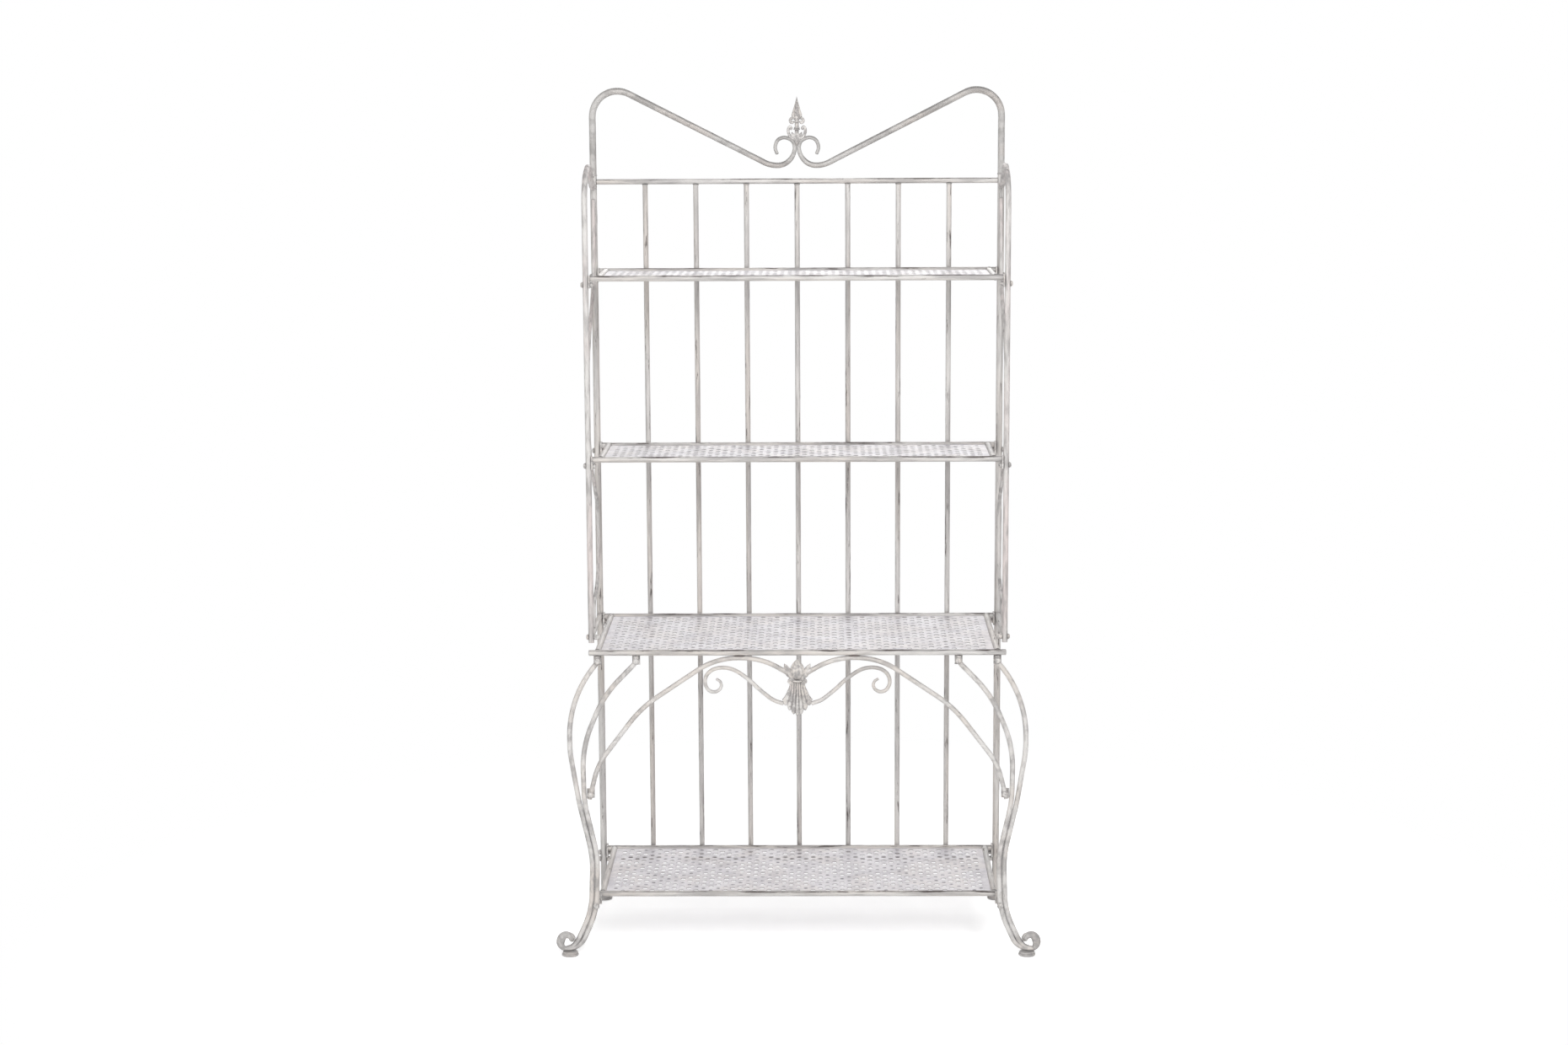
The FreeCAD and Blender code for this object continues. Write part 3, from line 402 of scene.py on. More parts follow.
def taper(values, line):
    # A radius in metres for each point of a line, from a few even ones in millimetres
    result = []
    for i in range(len(line)):
        at = i / (len(line) - 1) * (len(values) - 1)
        k = min(int(at), len(values) - 2)
        result.append((values[k] + (values[k + 1] - values[k]) * (at - k)) * mm)
    return result


def slab(shape, columns, rows, front, back, recessed=None):
    # A closed relief: a front and a back grid of points joined round the edge, with painted shade (its
    # second material) where recessed says
    sheets = []
    for surface in (front, back):
        sheets.append([[shape.verts.new(surface(i / columns, j / rows)) for i in range(columns + 1)]
                       for j in range(rows + 1)])
    for grid in sheets:
        for j in range(rows):
            for i in range(columns):
                face = shape.faces.new((grid[j][i], grid[j][i + 1], grid[j + 1][i + 1], grid[j + 1][i]))
                if recessed and recessed((i + 0.5) / columns, (j + 0.5) / rows):
                    face.material_index = 1
    ring = [(0, i) for i in range(columns)] + [(j, columns) for j in range(rows)]
    ring += [(rows, i) for i in range(columns, 0, -1)] + [(j, 0) for j in range(rows, 0, -1)]
    near, far = sheets
    for (j, i), (l, k) in zip(ring, ring[1:] + ring[:1]):
        shape.faces.new((near[j][i], near[l][k], far[l][k], far[j][i]))


def placer(name):
    # Gives points by their distance in X from a node's middle and by a share of its height
    low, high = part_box(name)
    middle, tall = (low + high) / 2, high.z - low.z
    return lambda x, share: Vector((middle.x + x, middle.y, low.z + share * tall))


def islandBoxes(name):
    # Lowest and highest corner of each separate solid of a node
    shape = bmesh.new()
    shape.from_mesh(nodes[name].data)
    bmesh.ops.remove_doubles(shape, verts=shape.verts, dist=joinWithin)
    seen, boxes = set(), []
    for start in shape.verts:
        if start in seen:
            continue
        seen.add(start)
        heap, members = [start], []
        while heap:
            vertex = heap.pop()
            members.append(vertex.co.copy())
            for edge in vertex.link_edges:
                other = edge.other_vert(vertex)
                if other not in seen:
                    seen.add(other)
                    heap.append(other)
        boxes.append(tuple(Vector(pick(co[k] for co in members) for k in range(3)) for pick in (min, max)))
    shape.free()
    return boxes


# Crest arms: over a wide shoulder, down a slope and into a thinning curl.
# Each curl point is (x, z, radius) in millimetres for the right-hand arm
crestLook = {
    "hump": 54 * mm, "fall": 26.8, "tube": 7.25 * mm, "tubeAfterHump": 7.0 * mm,  # fall is in degrees
    "postSteps": 7, "humpSteps": 9, "slopeSteps": 16,
    "curl": ((81.5, 1646.2, 6.2), (63.5, 1637.4, 6.1), (45.3, 1633.7, 6.0), (29.2, 1635.7, 5.8),
             (16.1, 1644.2, 5.4), (7.4, 1657.1, 4.8), (4.5, 1671.6, 4.3), (8.0, 1683.6, 4.1),
             (16.1, 1690.0, 4.0), (28.1, 1692.8, 3.9), (39.7, 1688.4, 3.85), (45.5, 1678.5, 3.8),
             (46.2, 1668.6, 3.75), (42.5, 1659.0, 3.7)),
}


def bendCrestArms(look):
    # The radius rides along in the Y place until the line is drawn
    tube, hump, humpSteps = look["tube"], look["hump"], look["humpSteps"]
    turns = [math.radians((90 + look["fall"]) * i / humpSteps) for i in range(humpSteps + 1)]
    curl = [Vector((x, r, z)) * mm for x, z, r in look["curl"]]
    for side, sign in sides:
        low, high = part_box("crest_arm_" + side)
        depth = (low.y + high.y) / 2
        outside = max(abs(low.x), abs(high.x)) - tube
        shoulder = Vector((outside - hump, 0, high.z - tube - hump))
        over = [shoulder + Vector((hump * math.cos(a), tube, hump * math.sin(a))) for a in turns]
        over[-1].y = look["tubeAfterHump"]
        points = evenSteps(Vector((outside, tube, low.z)), over[0], look["postSteps"]) + over[:-1]
        points += evenSteps(over[-1], curl[0], look["slopeSteps"]) + curl
        line = smoothLine(points, steps=6)
        shape = bmesh.new()
        rod(shape, [Vector((sign * p.x, depth, p.z)) for p in line], [p.y for p in line], segments=20)
        finishPiece("crestArm_" + side, shape, "crestShadedPaint", "frame_paint", "crest_arm_" + side)


bendCrestArms(crestLook)
print("crest bent")

# Leaves of both castings: pointed, with a raised rib, and their front towards -Y
leafLook = {"grid": (8, 10), "swell": 0.8, "edgeDepth": 0.35, "rootLift": 0.08, "ribPower": 0.5,
            "backDepth": 0.6}


def leaf(shape, root, tip, half, depth, look=leafLook):
    along = tip - root
    across = along.cross(Vector((0, 1, 0))).normalized()

    def surface(u, v, face):
        side = 2 * u - 1
        width = half * math.sin(math.pi * v ** look["swell"]) ** look["swell"]
        rib = look["edgeDepth"] + (1 - look["edgeDepth"]) * (1 - abs(side))
        ridge = depth * rib * math.sin(math.pi * min(v + look["rootLift"], 1)) ** look["ribPower"]
        return root + along * v + across * side * width + Vector((0, face * ridge, 0))

    slab(shape, *look["grid"], lambda u, v: surface(u, v, -1),
         lambda u, v: surface(u, v, look["backDepth"]))


# Finial: a hollow-faced spear over two pairs of hooks and a spray of leaves.
# Points are x in millimetres and a share of the height
finialLook = {
    "bladeHalf": 11.4 * mm, "bladeDepth": 4.6 * mm, "bladeGrid": (32, 44),
    "heel": 0.49, "heelWidth": 0.45, "widest": 0.17, "narrowing": 1.12,
    "rimAt": 0.72, "rimHalf": 0.28, "rimPower": 0.5, "hollowDepth": 0.22,
    "tipFrom": 0.66, "tipLength": 0.2, "tipThinning": 0.45,  # where the hollow closes and the blade thins
    "shadedHalf": 0.45, "shadedFrom": 0.05, "shadedTo": 0.74,
    "stem": ((0, -0.10), (0, 0.15), (0, 0.36), (0, 0.53)), "stemRadii": (3.0, 4.4, 4.3, 5.0),
    "stemSquash": 0.8, "hookSquash": 0.9,
    "collars": ((5.6, 0.26), (4.8, 0.29), (4.6, 0.42)), "collarHalf": 1.5 * mm,
    "upperHook": ((1.5, 0.48), (6, 0.512), (11, 0.503), (14.2, 0.462), (13, 0.415), (9.4, 0.402),
                  (8, 0.435)),
    "upperRadii": (3.2, 3.0, 2.8, 2.4),
    "lowerHorn": ((2, -0.06), (8.5, 0.02), (15, 0.105), (18.2, 0.20), (17.8, 0.275), (14.8, 0.315),
                  (11.8, 0.29), (12.6, 0.255)),
    "lowerRadii": (2.4, 3.3, 3.1, 2.7, 2.5),
    "sideLeaf": ((0.8, -0.07), (11, 0.20)), "sideLeafHalf": 5.28 * mm, "sideLeafDepth": 3.6 * mm,
    "midLeaf": ((0, -0.10), (0, 0.26)), "midLeafHalf": 6.93 * mm, "midLeafDepth": 5.6 * mm,
}


def bladeWidth(look, share):
    # Half width of the spear from its heel (0) to its tip (1), where it is 1 at its widest
    widest, heelWidth = look["widest"], look["heelWidth"]
    if share < widest:
        return heelWidth + (1 - heelWidth) * math.sin(share / widest * math.pi / 2)
    return (1 - (share - widest) / (1 - widest)) ** look["narrowing"]


def castFinial(look):
    at = placer("crest_finial")
    heel, hollow = look["heel"], look["hollowDepth"]
    shape = bmesh.new()

    def blade(u, v, face):
        side = 2 * u - 1
        half = bladeWidth(look, v) * look["bladeHalf"]
        rim = max(0, 1 - abs(abs(side) - look["rimAt"]) / look["rimHalf"])
        closing = min(1, max(0, (v - look["tipFrom"]) / look["tipLength"]))
        relief = hollow + (1 - hollow) * max(rim, closing * (1 - abs(side))) ** look["rimPower"]
        depth = look["bladeDepth"] * relief * (1 - look["tipThinning"] * v)
        return at(side * half, heel + v * (1 - heel)) + Vector((0, face * depth, 0))

    # Faces in the blade's hollow take the painted shade
    def shaded(u, v):
        return abs(2 * u - 1) < look["shadedHalf"] and look["shadedFrom"] < v < look["shadedTo"]

    slab(shape, *look["bladeGrid"], lambda u, v: blade(u, v, -1), lambda u, v: blade(u, v, 1), shaded)
    stem = smoothLine([at(x * mm, z) for x, z in look["stem"]])
    rod(shape, stem, taper(look["stemRadii"], stem), look["stemSquash"])
    for radius, share in look["collars"]:
        lathe(shape, ringSection(radius * mm, look["collarHalf"]), at(0, share), upAxis, segments=20)
    for side in (-1, 1):
        for hook, radii in (("upperHook", "upperRadii"), ("lowerHorn", "lowerRadii")):
            line = smoothLine([at(side * x * mm, z) for x, z in look[hook]])
            rod(shape, line, taper(look[radii], line), look["hookSquash"])
        root, tip = (at(side * x * mm, z) for x, z in look["sideLeaf"])
        leaf(shape, root, tip, look["sideLeafHalf"], look["sideLeafDepth"])
    root, tip = (at(x * mm, z) for x, z in look["midLeaf"])
    leaf(shape, root, tip, look["midLeafHalf"], look["midLeafDepth"])
    finishPiece("finialCasting", shape, "castPaint recessPaint", "frame_paint", "crest_finial")


castFinial(finialLook)
print("finial cast")

# Palmette: a ribbed bud over a fluted shell, with leaf wings where the arches meet it
shellLook = {
    "top": 0.63, "flutes": 7, "depth": 6.0 * mm, "grid": (108, 36),
    "neck": 0.54, "waist": 0.05, "flare": 1.9,
    "sideFall": 0.38, "midFall": 0.25, "tongue": 1.4,  # falls and notches are shares of the height
    "notch": 0.045, "notchPower": 4,
    "edgeDepth": 0.55, "endDepth": 0.75, "grooveDepth": 0.42, "groovePower": 0.7, "backDepth": 0.5,
    "shadedFrom": 0.12, "shadedLobe": 0.3,
}
budLook = {
    "foot": 0.645, "half": 15.6 * mm, "depth": 9.5 * mm, "cut": 0.06, "belly": 0.85, "roundness": 0.75,
    "ribs": 5, "ribDepth": 0.16, "ribPower": 1.5, "around": 60, "rows": 24,
}
palmetteLook = {
    "strap": ((8, 0.62), (13, 0.69), (18.7, 0.753), (27, 0.80), (36, 0.832)),
    "strapRadii": (3.8, 4.4, 5.1, 5.3, 4.8), "strapSquash": 0.95,
    "wing": ((12, 0.66), (27, 0.925)), "wingHalf": 7.2 * mm, "wingDepth": 4.6 * mm,
    "volute": ((5, 0.63), (11, 0.645), (16.5, 0.635), (17.5, 0.60), (14, 0.585), (12, 0.605)),
    "voluteRadii": (2.6, 2.8, 2.6, 2.2),
    "rim": 0.625, "rimRadius": 9.5 * mm, "rimHalf": 2 * mm,
}


def fluteShell(shape, look, at, half, tall):
    def lobe(side):
        return abs(math.cos(math.pi * look["flutes"] * side / 2))

    def surface(u, v, face):
        side = 2 * u - 1
        waist = look["waist"] * math.sin(min(2 * v, 1) * math.pi)
        width = half * (look["neck"] - waist + (1 - look["neck"]) * v ** look["flare"])
        fall = (look["sideFall"] + look["midFall"] * (1 - abs(side) ** look["tongue"])) * tall
        drop = v * fall - (1 - lobe(side)) * look["notch"] * tall * v ** look["notchPower"]
        relief = look["backDepth"] * look["depth"]
        if face < 0:
            crown = look["edgeDepth"] + (1 - look["edgeDepth"]) * (1 - side ** 2)
            belly = look["endDepth"] + (1 - look["endDepth"]) * math.sin(math.pi * v)
            groove = look["grooveDepth"] + (1 - look["grooveDepth"]) * lobe(side) ** look["groovePower"]
            relief = look["depth"] * crown * belly * groove
        return at(side * width, look["top"]) + Vector((0, face * relief, -drop))

    # Faces in the flute grooves take the painted shade
    def shaded(u, v):
        return v > look["shadedFrom"] and lobe(2 * u - 1) < look["shadedLobe"]

    slab(shape, *look["grid"], lambda u, v: surface(u, v, -1), lambda u, v: surface(u, v, 1), shaded)


def ribBud(shape, look, at):
    around, rows = look["around"], look["rows"]
    rings = []
    for j in range(rows + 1):
        v = j / rows
        centre = at(0, look["foot"] + v * (1 - look["foot"]))
        swell = math.sin(math.pi * min(1, look["cut"] + (1 - look["cut"]) * v) ** look["belly"])
        ring = []
        for i in range(around):
            turn = 2 * math.pi * i / around
            rib = 1 - look["ribDepth"] * (1 - abs(math.sin(look["ribs"] * turn))) ** look["ribPower"]
            size = swell ** look["roundness"] * rib
            reach = Vector((look["half"] * math.cos(turn), look["depth"] * math.sin(turn), 0))
            ring.append(shape.verts.new(centre + size * reach))
        rings.append(ring)
    joinRings(shape, rings)


def castPalmette(look):
    at = placer("apron_palmette")
    low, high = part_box("apron_palmette")
    shape = bmesh.new()
    fluteShell(shape, shellLook, at, (high.x - low.x) / 2, high.z - low.z)
    ribBud(shape, budLook, at)
    for side in (-1, 1):
        strap = smoothLine([at(side * x * mm, z) for x, z in look["strap"]])
        rod(shape, strap, taper(look["strapRadii"], strap), look["strapSquash"])
        root, tip = (at(side * x * mm, z) for x, z in look["wing"])
        leaf(shape, root, tip, look["wingHalf"], look["wingDepth"])
        volute = smoothLine([at(side * x * mm, z) for x, z in look["volute"]])
        rod(shape, volute, taper(look["voluteRadii"], volute))
    rim = ringSection(look["rimRadius"], look["rimHalf"])
    lathe(shape, rim, at(0, look["rim"]), upAxis, segments=24)
    finishPiece("palmetteCasting", shape, "castPaint recessPaint", "frame_paint", "apron_palmette")


castPalmette(palmetteLook)
print("palmette cast")

# Apron scrolls: drawn-out rods that thin as they roll up, (x, z) in millimetres for the right-hand one
scrollLook = {
    "line": ((30.5, 541.6), (51.6, 550), (79.1, 572), (100.3, 592), (127.8, 611), (151.4, 617.3),
             (173.7, 613.4), (187.5, 601), (190.6, 584), (183.5, 570), (171.5, 566), (161.5, 570.5),
             (157, 579.5), (159.6, 588), (166.5, 593)),
    "radii": (4.25, 4.2, 4.1, 4.0, 3.8, 3.3, 2.7),
}


def drawApronScrolls(look):
    for side, sign in sides:
        low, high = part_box("apron_scroll_" + side)
        shape = bmesh.new()
        line = sideLine(look["line"], sign, (low.y + high.y) / 2, steps=10)
        rod(shape, line, taper(look["radii"], line), segments=18)
        finishPiece("apronScroll_" + side, shape, "archPaint", "frame_paint", "apron_scroll_" + side)


drawApronScrolls(scrollLook)
print("apron scrolls drawn")

# Foot curls: the rod's end swells as it rolls over, on the curl that the brace already makes
curlLook = {
    "radius": 14.7 * mm, "rod": 5.25 * mm, "swell": (5.4, 7.6, 9.0, 8.8, 7.8, 6.8, 5.8), "squash": 1.2,
    "turn": (-70, 156), "steps": 36,  # degrees, from under the middle to the eye
    "rise": 1.2,  # taller above the middle
    "eye": ((0, 4.4), (2.6, 4.5), (3.5, 5.5), (4.2, 6.4), (5.1, 6.6), (6.0, 5.9), (6.4, 4.6)),
    "pupil": ((0, 4.9), (2.3, 5.0), (3.3, 5.7), (3.8, 5.6)),
}


def flareFootCurls(look):
    shape, pupils = bmesh.new(), bmesh.new()
    first, last = look["turn"]
    turns = [math.radians(first + (last - first) * i / look["steps"]) for i in range(look["steps"] + 1)]
    radii = taper(look["swell"], turns)
    eye, pupil = toMetres(look["eye"]), toMetres(look["pupil"])
    for side, sign in sides:
        low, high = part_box("leg_brace_" + side)
        outside = (high.x if sign > 0 else -low.x) - look["rod"]
        centre = Vector((sign * (outside - look["radius"]), (low.y + high.y) / 2,
                         low.z + look["rod"] + look["radius"]))

        def around(a, reach):
            lift = math.sin(a) * (look["rise"] if math.sin(a) > 0 else 1)
            return centre + reach * Vector((sign * math.cos(a), 0, lift))

        line = [around(a, look["radius"] + look["rod"] - r) for a, r in zip(turns, radii)]
        rod(shape, line, radii, look["squash"], segments=20)
        end = around(turns[-1], look["radius"])
        lathe(shape, eye + [(r, -z) for r, z in reversed(eye)], end, (0, -1, 0), segments=24)
        for way in (-1, 1):
            lathe(pupils, pupil, end, (0, way, 0), segments=16)
    finishPiece("footCurls", shape, "curlShadedPaint", "frame_paint")
    finishPiece("curlEyes", pupils, "burntPaint", "frame_paint")


flareFootCurls(curlLook)

# Leg toes: each outer leg rod drawn down into the curl, (x, z) in millimetres for the right-hand one
toeLook = {"line": ((455.2, 48.5), (459.3, 39.4), (465.5, 28.5), (474, 20), (486, 15.6)),
           "radii": (5.2, 5.35, 5.3, 5.2, 4.6)}


def drawLegToes(look):
    shape = bmesh.new()
    for side, sign in sides:
        low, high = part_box("leg_brace_" + side)
        line = sideLine(look["line"], sign, (low.y + high.y) / 2)
        rod(shape, line, taper(look["radii"], line), segments=18)
    finishPiece("legToes", shape, "legPaint", "frame_paint")


drawLegToes(toeLook)

# Foot pads: turned buns in two steps, in shares of the pad's radius and height
padLook = {"profile": ((0, 0), (0.86, 0), (0.97, 0.10), (0.997, 0.28), (0.96, 0.46), (0.86, 0.54),
                       (0.85, 0.60), (0.90, 0.68), (0.90, 0.84), (0.82, 0.97), (0.60, 1.0), (0, 1.0))}


def turnFootPads(look):
    for end in ("front", "rear"):
        shape = bmesh.new()
        for low, high in islandBoxes(end + "_foot_pads"):
            radius, height = (high.x - low.x) / 2, high.z - low.z
            centre = ((low.x + high.x) / 2, (low.y + high.y) / 2, low.z)
            bun = [(r * radius, z * height) for r, z in look["profile"]]
            lathe(shape, bun, centre, upAxis, segments=40)
        finishPiece(end + "PadBuns", shape, "footShadedPaint", "foot_pads", end + "_foot_pads")


turnFootPads(padLook)
print("feet turned")

# Shelf sheets: a rolled lip and a wall painted dark as shade in each hole, and a blind dimple, dark with
# wash and painted shade, at each unpunched place.
# Profiles are radius and height in millimetres
sheetLook = {
    "pitch": 15.5 * mm, "rowPitch": 27.5 * mm, "margin": 12 * mm, "plainEvery": 12,
    "lip": ((5.5, -0.1), (5.6, 0.12), (5.95, 0.22), (6.5, 0.15), (7.0, -0.05)),
    "wall": ((5.5, 0.0), (5.4, -0.12), (5.38, -0.6), (5.4, -1.1), (5.6, -1.3), (5.9, -1.25)),
    "dimple": ((0, 0.06), (1.6, 0.08), (2.7, 0.22), (3.3, 0.34), (3.8, 0.24), (4.3, -0.05)),
}


def punchMarks(look):
    profiles = {mark: toMetres(look[mark]) for mark in ("lip", "wall", "dimple")}
    rowStep, every = look["rowPitch"] / 2, look["plainEvery"]
    for shelf in shelves:
        low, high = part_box(shelf + "_panel")
        width, depth = high.x - low.x, high.y - low.y
        columns = int((width / 2 - look["margin"]) / look["pitch"])
        rows = int((depth - 2 * look["margin"]) / rowStep)
        start = low.y + (depth - rows * rowStep) / 2
        shapes = {mark: bmesh.new() for mark in profiles}
        for i in range(-columns, columns + 1):
            for j in range(rows + 1):
                if (i + j) % 2:  # the holes of one row stand between those of the next
                    continue
                centre = (i * look["pitch"], start + j * rowStep, high.z)
                plain = (i - j) % every == 0 or (i + j) % every == 0
                for mark in ("dimple",) if plain else ("lip", "wall"):
                    lathe(shapes[mark], profiles[mark], centre, upAxis, segments=16)
        finishPiece(shelf + "Lips", shapes["lip"], "sheetPaint", "shelf_sheet")
        finishPiece(shelf + "HoleWalls", shapes["wall"], "holeWallShadePaint", "shelf_sheet")
        finishPiece(shelf + "Dimples", shapes["dimple"], "dimpleWashAndShadePaint", "shelf_sheet")


punchMarks(sheetLook)
print("sheets punched")

# Bolt heads: domed caps on washers, over each bolt and screw
capLook = {
    "profile": ((6.4, -0.1), (6.4, 0.6), (6.0, 0.9), (5.7, 0.95), (5.6, 2.0), (4.9, 3.3), (3.65, 4.1),
                (2.0, 4.5), (0, 4.6)),
    "headHeight": 4 * mm,
}


def capBolts(look):
    shape = bmesh.new()
    profile = toMetres(look["profile"])
    for name in ("lug_bolts", "long_bolts", "leg_bolts", "frame_screws"):
        for low, high in islandBoxes(name):
            middle, size = (low + high) / 2, high - low
            if size.x > size.y:
                out = Vector((math.copysign(1, middle.x), 0, 0))
            else:
                out = Vector((0, math.copysign(1, middle.y), 0))
            seat = middle + out * (max(size.x, size.y) / 2 - look["headHeight"])
            lathe(shape, profile, seat, out, segments=20)
    finishPiece("boltCaps", shape, "hardwarePaint", "hardware")


capBolts(capLook)
print("bolts capped")

# Weld fillets: a small bead where a rod's end meets the piece that carries it, and caps on open ends.
# A bead's points are out from the rod and along it, a cap's are a share of the radius and the height
weldLook = {
    "bead": ((0.9, -0.4), (1.15, 0.2), (0.85, 0.9), (0.4, 1.7), (-0.3, 2.6)),
    "endCap": ((1.0, -0.4), (1.0, 0.3), (0.9, 1.1), (0.62, 1.7), (0, 2.0)),
    "saddle": 6.2 * mm, "saddleBack": 0.8 * mm,  # a side rail's filled end: into the rail across, and back
    "serpentineTop": (438.5, 188.6, 1561.8), "serpentineRadius": 4.0 * mm,  # its upper end in millimetres
}


def weldRodEnds(look):
    shape = bmesh.new()
    into, back = look["saddle"], look["saddleBack"]

    def bead(centre, axis, radius):
        lathe(shape, [(radius + r * mm, z * mm) for r, z in look["bead"]], centre, axis, segments=20)

    def cap(centre, axis, radius, segments):
        lathe(shape, [(r * radius, z * mm) for r, z in look["endCap"]], centre, axis, segments)

    crossing = endingWith(crossRails) + startingWith("side_bottom_rail")
    for name in crossing + startingWith("back_bar"):
        low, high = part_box(name)
        middle, size = (low + high) / 2, high - low
        axis = Vector((0, 1, 0)) if name in crossing else Vector(upAxis)
        radius = size.x / 2
        for way in (-1, 1):
            end = middle + axis * way * size.dot(axis) / 2
            bead(end, axis * -way, radius)
            if name in crossing:
                filled = [(0, -into), (radius, -into), (radius, back), (0, back)]
                lathe(shape, filled, end, axis * -way, segments=20)
    for side, sign in sides:
        low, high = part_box("back_upright_" + side)
        top = Vector(((low.x + high.x) / 2, (low.y + high.y) / 2, high.z))
        for way in (-1, 1):
            bead(top, (0, 0, way), (high.x - low.x) / 2)
        for name in (shelf + edge for shelf in shelves for edge in ("_front_rail", "_back_rail")):
            low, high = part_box(name)
            end = Vector((high.x if sign > 0 else low.x, (low.y + high.y) / 2, (low.z + high.z) / 2))
            cap(end, (sign, 0, 0), (high.z - low.z) / 2, segments=24)
        x, y, z = (value * mm for value in look["serpentineTop"])
        cap((sign * x, y, z), upAxis, look["serpentineRadius"], segments=20)
    finishPiece("weldFillets", shape, "curlShadedPaint", "frame_paint")


weldRodEnds(weldLook)

# Arch welds: a burnt seam at each arch's crown, under the counter, dark as a weld and as painted shadow
# where the arch meets the rail
archSeamAndShadowLook = {"half": 12.5 * mm, "out": 3.6 * mm, "sink": 0.4 * mm, "steps": 12,
            "radii": (0.5, 1.5, 1.8, 1.6, 1.7, 1.3, 0.5), "crownBand": 0.05 * mm}


def drawArchWeldsAndShadow(look):
    shape = bmesh.new()
    for name in startingWith("apron_arch"):
        corners = [vertex.co for vertex in nodes[name].data.vertices]
        crown = max(corner.z for corner in corners)
        across = [corner.x for corner in corners if crown - corner.z < look["crownBand"]]
        low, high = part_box(name)
        centre = Vector(((min(across) + max(across)) / 2, (low.y + high.y) / 2 - look["out"],
                         crown - look["sink"]))
        reach = Vector((look["half"], 0, 0))
        line = evenSteps(centre - reach, centre + reach, look["steps"])
        rod(shape, line, taper(look["radii"], line), segments=12)
    finishPiece("archWeldsAndShadow", shape, "burntPaint", "frame_paint")


drawArchWeldsAndShadow(archSeamAndShadowLook)
print("rods welded")

# Studio: white surround, pale floor, soft lamps
white = (1, 1, 1, 1)
studioLook = {
    "floor": 40.0, "floorColour": (0.93, 0.93, 0.93, 1), "floorRoughness": 0.9,
    "shadowReach": (0.75, 1.7), "glow": 0.45, "surround": 0.31, "aim": (0, 0, 0.9),
    "lamps": (  # place and size in metres, power in watts
        ("keyLamp", (0.7, -4.6, 4.0), 2.4, 190), ("fillLamp", (-2.4, -4.4, 1.6), 2.4, 44),
        ("topLamp", (0.1, -0.6, 4.8), 3.2, 22), ("backLamp", (0.4, 4.2, 3.4), 2.6, 86)),
}


def seenRays(tree):
    # 1 for camera, glossy and transmission rays, else 0
    path = addNode(tree, "ShaderNodeLightPath").outputs
    seen = sums(tree, "MAXIMUM", path["Is Camera Ray"], path["Is Glossy Ray"])
    return sums(tree, "MAXIMUM", seen, path["Is Transmission Ray"])


def paintFloor(look):
    # Keeps the shadow near the stand, and fades to plain white further out
    material = bpy.data.materials.new("paleFloor")
    material.use_nodes = True
    tree = material.node_tree
    shader = tree.nodes["Principled BSDF"]
    for socket, value in (("Base Color", look["floorColour"]), ("Roughness", look["floorRoughness"]),
                          ("Specular IOR Level", 0.0), ("Emission Color", white)):
        shader.inputs[socket].default_value = value
    place = addNode(tree, "ShaderNodeTexCoord").outputs["Object"]
    distance = addNode(tree, "ShaderNodeVectorMath", operation="LENGTH")
    plain = addNode(tree, "ShaderNodeEmission", {"Color": white, "Strength": 1.0})
    blend = addNode(tree, "ShaderNodeMixShader")
    feed(tree, (place, distance.inputs[0]))
    seen = seenRays(tree)
    away = sums(tree, "MULTIPLY", remap(tree, distance.outputs["Value"], *look["shadowReach"]), seen)
    feed(tree, (sums(tree, "MULTIPLY", seen, look["glow"]), shader.inputs["Emission Strength"]),
         (away, blend.inputs[0]), (shader.outputs[0], blend.inputs[1]), (plain.outputs[0], blend.inputs[2]),
         (blend.outputs[0], tree.nodes["Material Output"].inputs["Surface"]))
    return material


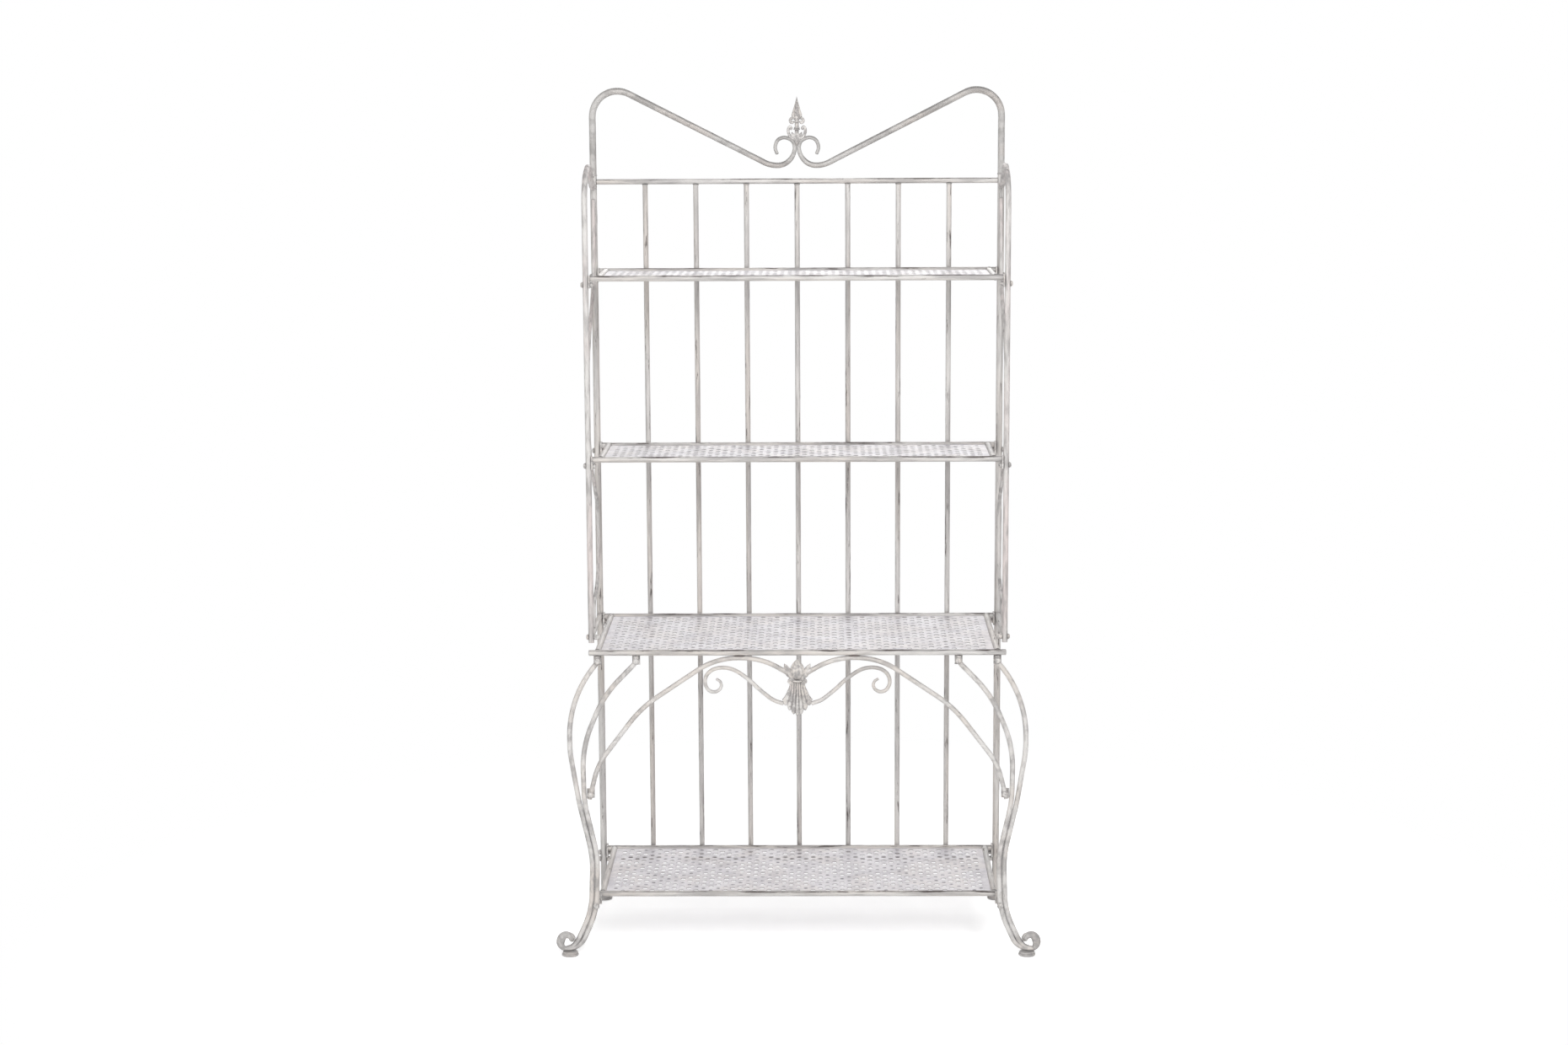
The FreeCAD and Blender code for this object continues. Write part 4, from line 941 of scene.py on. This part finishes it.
def layFloor(look):
    reach = look["floor"] / 2
    corners = [(x * reach, y * reach, 0) for x, y in ((-1, -1), (1, -1), (1, 1), (-1, 1))]
    mesh = bpy.data.meshes.new("studioFloor")
    mesh.from_pydata(corners, [], [(0, 1, 2, 3)])
    mesh.materials.append(paintFloor(look))
    floor = bpy.data.objects.new("studioFloor", mesh)
    bpy.context.scene.collection.objects.link(floor)


def lightStudio(look):
    world = bpy.data.worlds.new("whiteStudio")
    bpy.context.scene.world = world
    world.use_nodes = True
    tree = world.node_tree
    background = tree.nodes["Background"]
    background.inputs["Color"].default_value = white
    strength = addNode(tree, "ShaderNodeMapRange", {"To Min": look["surround"], "To Max": 1.0})
    feed(tree, (seenRays(tree), strength.inputs["Value"]),
         (strength.outputs["Result"], background.inputs["Strength"]))
    for name, place, size, power in look["lamps"]:
        lamp = bpy.data.lights.new(name, "AREA")
        lamp.size = size
        lamp.energy = power
        holder = bpy.data.objects.new(name, lamp)
        holder.location = place
        holder.rotation_euler = (Vector(look["aim"]) - Vector(place)).to_track_quat("-Z", "Y").to_euler()
        bpy.context.scene.collection.objects.link(holder)


layFloor(studioLook)
lightStudio(studioLook)

# Camera as the photograph was taken: a little above, slightly turned. Angles are in degrees
cameraLook = {"place": (0.048, -5.703, 1.8186), "pitch": 9.265, "yaw": 0.77, "roll": -0.268,
              "focalPixels": 3232.0, "imageWidth": 1860, "sensor": 36.0}


def placeCamera(look):
    lens = bpy.data.cameras.new("standCamera")
    lens.sensor_fit = "HORIZONTAL"
    lens.sensor_width = look["sensor"]
    lens.lens = look["focalPixels"] / look["imageWidth"] * look["sensor"]
    camera = bpy.data.objects.new("standCamera", lens)
    bpy.context.scene.collection.objects.link(camera)
    stance = Matrix.Translation(look["place"])
    for angle, axis in ((look["yaw"], "Z"), (90 - look["pitch"], "X"), (look["roll"], "Z")):
        stance = stance @ Matrix.Rotation(math.radians(angle), 4, axis)
    camera.matrix_world = stance
    bpy.context.scene.camera = camera


placeCamera(cameraLook)
bpy.context.scene.view_settings.view_transform = "Standard"
print("studio and camera set")
